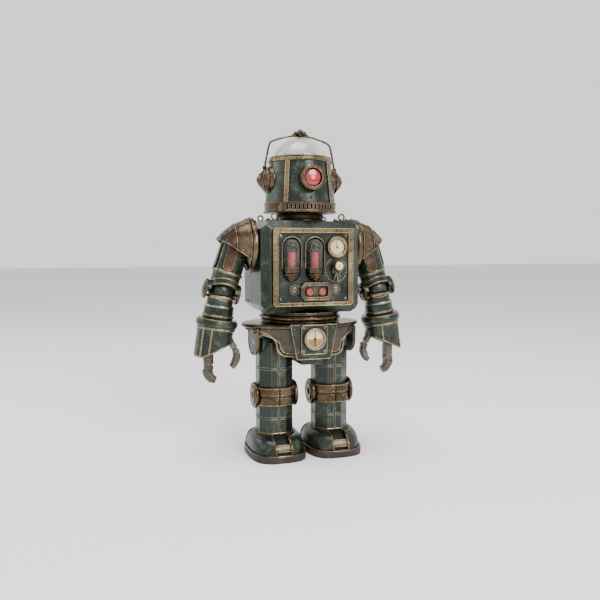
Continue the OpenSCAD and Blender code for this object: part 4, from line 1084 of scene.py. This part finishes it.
def half_bands(af, low, high, body, name, look, side, crown=0.7, lower_cut=0.0, upper_cut=0.0, is_round=False):
    """Two half rings round a leg, open at the front and back seams. A cut slopes away behind."""
    made = Shape()
    for half in (0, 180):
        angles = [half - 90 + 1.6 + 176.8 * i / 32 for i in range(33)]
        rows = []
        for k, lift in ((0, -0.6), (0.02, 0.45), (0.3, crown), (0.7, crown), (0.98, 0.45), (1, -0.6)):
            row = []
            for angle in angles:
                x, y = octagon_point(af + 2 * lift, angle)
                if is_round:
                    x, y = ((af / 2 + lift) * f(math.radians(angle)) for f in (math.cos, math.sin))
                behind = max(0.0, y)
                bottom = low + behind * lower_cut
                top = high - behind * upper_cut
                row.append((LEG_X + x, LIMB_Y + y, bottom + (top - bottom) * k))
            rows.append(row)
        made.grid(rows)
    return made.make(name, look, body, side, sharp=24)


def leg(word, side):
    thigh, shin, foot = f"{word}_thigh", f"{word}_shin", f"{word}_foot"
    for node, look in (("thigh", "green"), ("knee_pin", "bronze"), ("shin", "green"), ("foot_shell", "green"),
                       ("foot_sole", "sole")):
        paint(f"{node}_{word}", look)
    relief = math.tan(math.radians(16))
    for af, low, high, body, name, look, crown, lower_cut, upper_cut in (
            (37, 54.8, 61.6, thigh, "knee_band_upper", "bronze", 0.7, relief, 0.0),
            (36.4, 47.4, 54.2, shin, "knee_band_lower", "bronze", 0.7, 0.0, relief),
            (37.2, 61.3, 62.6, thigh, "knee_bead_upper", "brass", 0.9, 0.0, 0.0),
            (36.6, 46.4, 47.7, shin, "knee_bead_lower", "brass", 0.9, 0.0, 0.0),
            (37.2, 56.0, 56.7, thigh, "knee_ridge", "brass", 0.9, relief, 0.0)):
        half_bands(af, low, high, body, f"{name}_{word}", look, side, crown, lower_cut, upper_cut, is_round=True)
    half_bands(31.2, 20.4, 22.2, shin, f"ankle_band_{word}", "brass", side)
    for z, body in ((79.7, thigh), (35, shin)):
        for shift, edge in ((-0.95, "lower"), (0.95, "upper")):
            half_bands(LEG_AF, z + shift - 0.28, z + shift + 0.28, body, f"seam_{body}_{edge}", "green", side,
                       crown=0.3)
    for body, low, high in ((thigh, 62.8, 98), (shin, 22.6, 46.2)):
        seams = Shape()
        for y in (LIMB_Y - LEG_AF / 2, LIMB_Y + LEG_AF / 2):
            for x in (LEG_X - 0.85, LEG_X + 0.85):
                seams.wire([(x, y, low), (x, y, (low + high) / 2), (x, y, high)], 0.36, sides=6)
        seams.make(f"seam_ribs_{body}", "bronze", body, side)
    discs = Shape()
    for s in (-1, 1):
        place = at(LEG_X + s * 19.5, LIMB_Y, KNEE_Z) @ to_side(s)
        discs.lathe([(11.5, -2.4), (11.8, -1.8), (11.8, -0.4), (11.2, 0.3), (10.2, 0.6), (9.2, 0.2), (8.8, -0.1),
                     (8.3, 0.6), (7.6, 1.1), (6.4, 1.2), (5.8, 0.9), (3.2, 1.1), (2.8, 1.7), (0, 2.0)], place, 52)
    discs.make(f"knee_discs_{word}", "bronze", thigh, side, sharp=60)
    foot_piece(word, side, foot)


SOLE_TOP, FOOT_TOP = 6, 20.5
TOE_SLOT = 6.2


def foot_outline(t, grow=0.0):
    """Half sizes and centre of the foot's outline, from 0 at the sole to 1 at the ankle."""
    bulge = math.sqrt(max(0.0, 1 - t * t))
    front = 19 + 15 * bulge + grow
    back = 18.6 + 13 * bulge + grow
    across = 18.6 + 5.6 * bulge + grow
    return across, (front + back) / 2, (back - front) / 2


def foot_point(t, angle, grow=0.0):
    across, along, shift = foot_outline(t, grow)
    c, s = math.cos(angle), math.sin(angle)
    x = math.copysign(across * abs(c) ** (2 / 2.7), c)
    y = math.copysign(along * abs(s) ** (2 / 2.7), s) + shift
    return Vector((LEG_X + x, LIMB_Y + y, SOLE_TOP + t * (FOOT_TOP - SOLE_TOP) + 0.25 * grow))


def slot_angle(t, grow=0.0):
    """Angle at which the outline meets the edge of the toe slot, measured back from straight ahead."""
    across = foot_outline(t, grow)[0]
    return math.acos((TOE_SLOT / across) ** 1.35)


def foot_piece(word, side, foot):
    levels = [0, 0.08, 0.17, 0.27, 0.38, 0.5, 0.61, 0.71, 0.8, 0.87, 0.93, 0.97, 0.99]
    rows = []
    for t in levels:
        open_at = slot_angle(t)
        rows.append([foot_point(t, -open_at + (math.pi + 2 * open_at) * i / 88) for i in range(89)])
    inner = []
    for p in rows[-1]:
        flat = Vector((p.x - LEG_X, p.y - LIMB_Y, 0))
        inner.append(Vector((LEG_X, LIMB_Y, FOOT_TOP - 0.1)) + flat * (17.9 / max(flat.length, 17.9)))
    rows.append(inner)
    made = Shape().grid(rows).make(f"foot_dome_{word}", "green", foot, side, shell=1.3, sharp=50)
    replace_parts(made, f"foot_shell_{word}")
    trim = Shape()
    for s in (-1, 1):
        line = []
        for t in levels:
            p = foot_point(t, -slot_angle(t), 0.1)
            line.append((LEG_X + s * (p.x - LEG_X + 0.9), p.y, p.z + 0.1))
        trim.wire(line, 1.05, flat=0.6)
    for angle in (math.radians(24), math.radians(156)):
        trim.wire([foot_point(t, angle, 0.05) for t in levels], 0.75)
    trim.make(f"foot_straps_{word}", "bronze", foot, side)
    welt = Shape()
    outline = [foot_point(0, 2 * math.pi * i / 80, 0.9) for i in range(80)]
    welt.wire([(p.x, p.y, SOLE_TOP + 0.1) for p in outline], 0.85, closed=True)
    welt.make(f"sole_welt_{word}", "bronze", foot, side)
    ring = arc(LEG_X, LIMB_Y, 17.9, 17.9, -70, 250, 60)
    collar = Shape().wire([(x, y, FOOT_TOP + 0.1) for x, y in ring], 0.75)
    collar.make(f"ankle_collar_{word}", "bronze", foot, side)
    # a dark sheet set back in the toe slot: painted shadow for the hollow of the foot seen through it
    toe_shadow = Shape().grid(toe_rows(0.0, 0.97, 4.2))
    toe_shadow.make(f"toe_slot_shadow_{word}", "dark", foot, side, shell=1.0)
    bar = Shape().grid(toe_rows(0.22, 0.62, 1.3))
    bar.make(f"toe_bar_{word}", "bronze", foot, side, shell=2.4, bevel=0.3)
    ridge = Shape()
    for t in (0.24, 0.4, 0.6):
        ridge.wire([p - Vector((0, 0.1, 0)) for p in toe_rows(t, t + 0.001, 1.3)[0]], 0.45, sides=6)
    ridge.make(f"toe_bar_ridges_{word}", "brass", foot, side)
    lip = Shape()
    lip.block((LEG_X - 6.1, LIMB_Y - 33.6, SOLE_TOP - 0.3), (LEG_X + 6.1, LIMB_Y - 28, SOLE_TOP + 0.9))
    lip.make(f"toe_lip_{word}", "green", foot, side, bevel=0.3)


def toe_rows(low, high, inset):
    """Rows across the toe slot that follow the foot's front, set back by inset."""
    rows = []
    for i in range(9):
        t = low + (high - low) * i / 8
        front = foot_point(t, -math.pi / 2)
        rows.append([Vector((LEG_X + x, front.y + inset, front.z)) for x in (-6.1, -3, 0, 3, 6.1)])
    return rows


# ---------------------------------------------------------------- stage

def stage():
    floor = bpy.data.meshes.new("floor")
    size = 6
    floor.from_pydata([(-size, -size, 0), (size, -size, 0), (size, size, 0), (-size, size, 0)], [], [(0, 1, 2, 3)])
    s = Shader("floor_paper")
    s.put(s.bsdf.inputs["Base Color"], s.mix(s.noise(300, 4), rgb(250, 250, 250), rgb(247, 247, 247)))
    s.put(s.bsdf.inputs["Roughness"], 0.9)
    floor.materials.append(s.mat)
    made = bpy.data.objects.new("floor", floor)
    bpy.context.scene.collection.objects.link(made)
    studio()
    target = Vector((0, 0, 0.15))
    for name, place, size, power in (("key", (0.35, -1.15, 0.85), 0.6, 15), ("top", (-0.1, -0.1, 1.3), 0.7, 12),
                                     ("rim", (-0.9, 0.5, 0.7), 0.5, 3)):
        light = bpy.data.lights.new(name, "AREA")
        light.size = size
        light.energy = power
        lamp = bpy.data.objects.new(name, light)
        lamp.location = place
        lamp.rotation_euler = (target - Vector(place)).to_track_quat("-Z", "Y").to_euler()
        bpy.context.scene.collection.objects.link(lamp)


def studio():
    """A pale room that is bright at eye level and dim overhead."""
    world = bpy.data.worlds.new("studio")
    world.use_nodes = True
    tree = world.node_tree
    split = tree.nodes.new("ShaderNodeSeparateXYZ")
    tree.links.new(tree.nodes.new("ShaderNodeTexCoord").outputs["Generated"], split.inputs[0])
    ramp = tree.nodes.new("ShaderNodeValToRGB")
    tree.links.new(split.outputs["Z"], ramp.inputs[0])
    ramp.color_ramp.elements[0].position = 0.4
    ramp.color_ramp.elements[0].color = (0.98, 0.98, 0.98, 1)
    ramp.color_ramp.elements[1].position = 0.9
    ramp.color_ramp.elements[1].color = (0.52, 0.53, 0.54, 1)
    background = tree.nodes["Background"]
    tree.links.new(ramp.outputs[0], background.inputs["Color"])
    background.inputs["Strength"].default_value = 1.3
    bpy.context.scene.world = world


def camera():
    """Eye-level view from the robot's right, turned away from its front."""
    lens = bpy.data.cameras.new("camera")
    lens.sensor_width = 36
    lens.lens = 39.2
    view = bpy.data.objects.new("camera", lens)
    turn = math.radians(18)
    distance, height, aim = 0.6, 0.1863, 0.1388
    middle = Vector((0, MID_Y * MM, aim))
    view.location = middle + Vector((-distance * math.sin(turn), -distance * math.cos(turn), height - aim))
    view.rotation_euler = (middle - view.location).to_track_quat("-Z", "Y").to_euler()
    bpy.context.scene.collection.objects.link(view)
    bpy.context.scene.camera = view


camera()
stage()
head()
torso()
chest()
finish_gauges()
pelvis()
for word, side in SIDES.items():
    arm(word, side)
    leg(word, side)
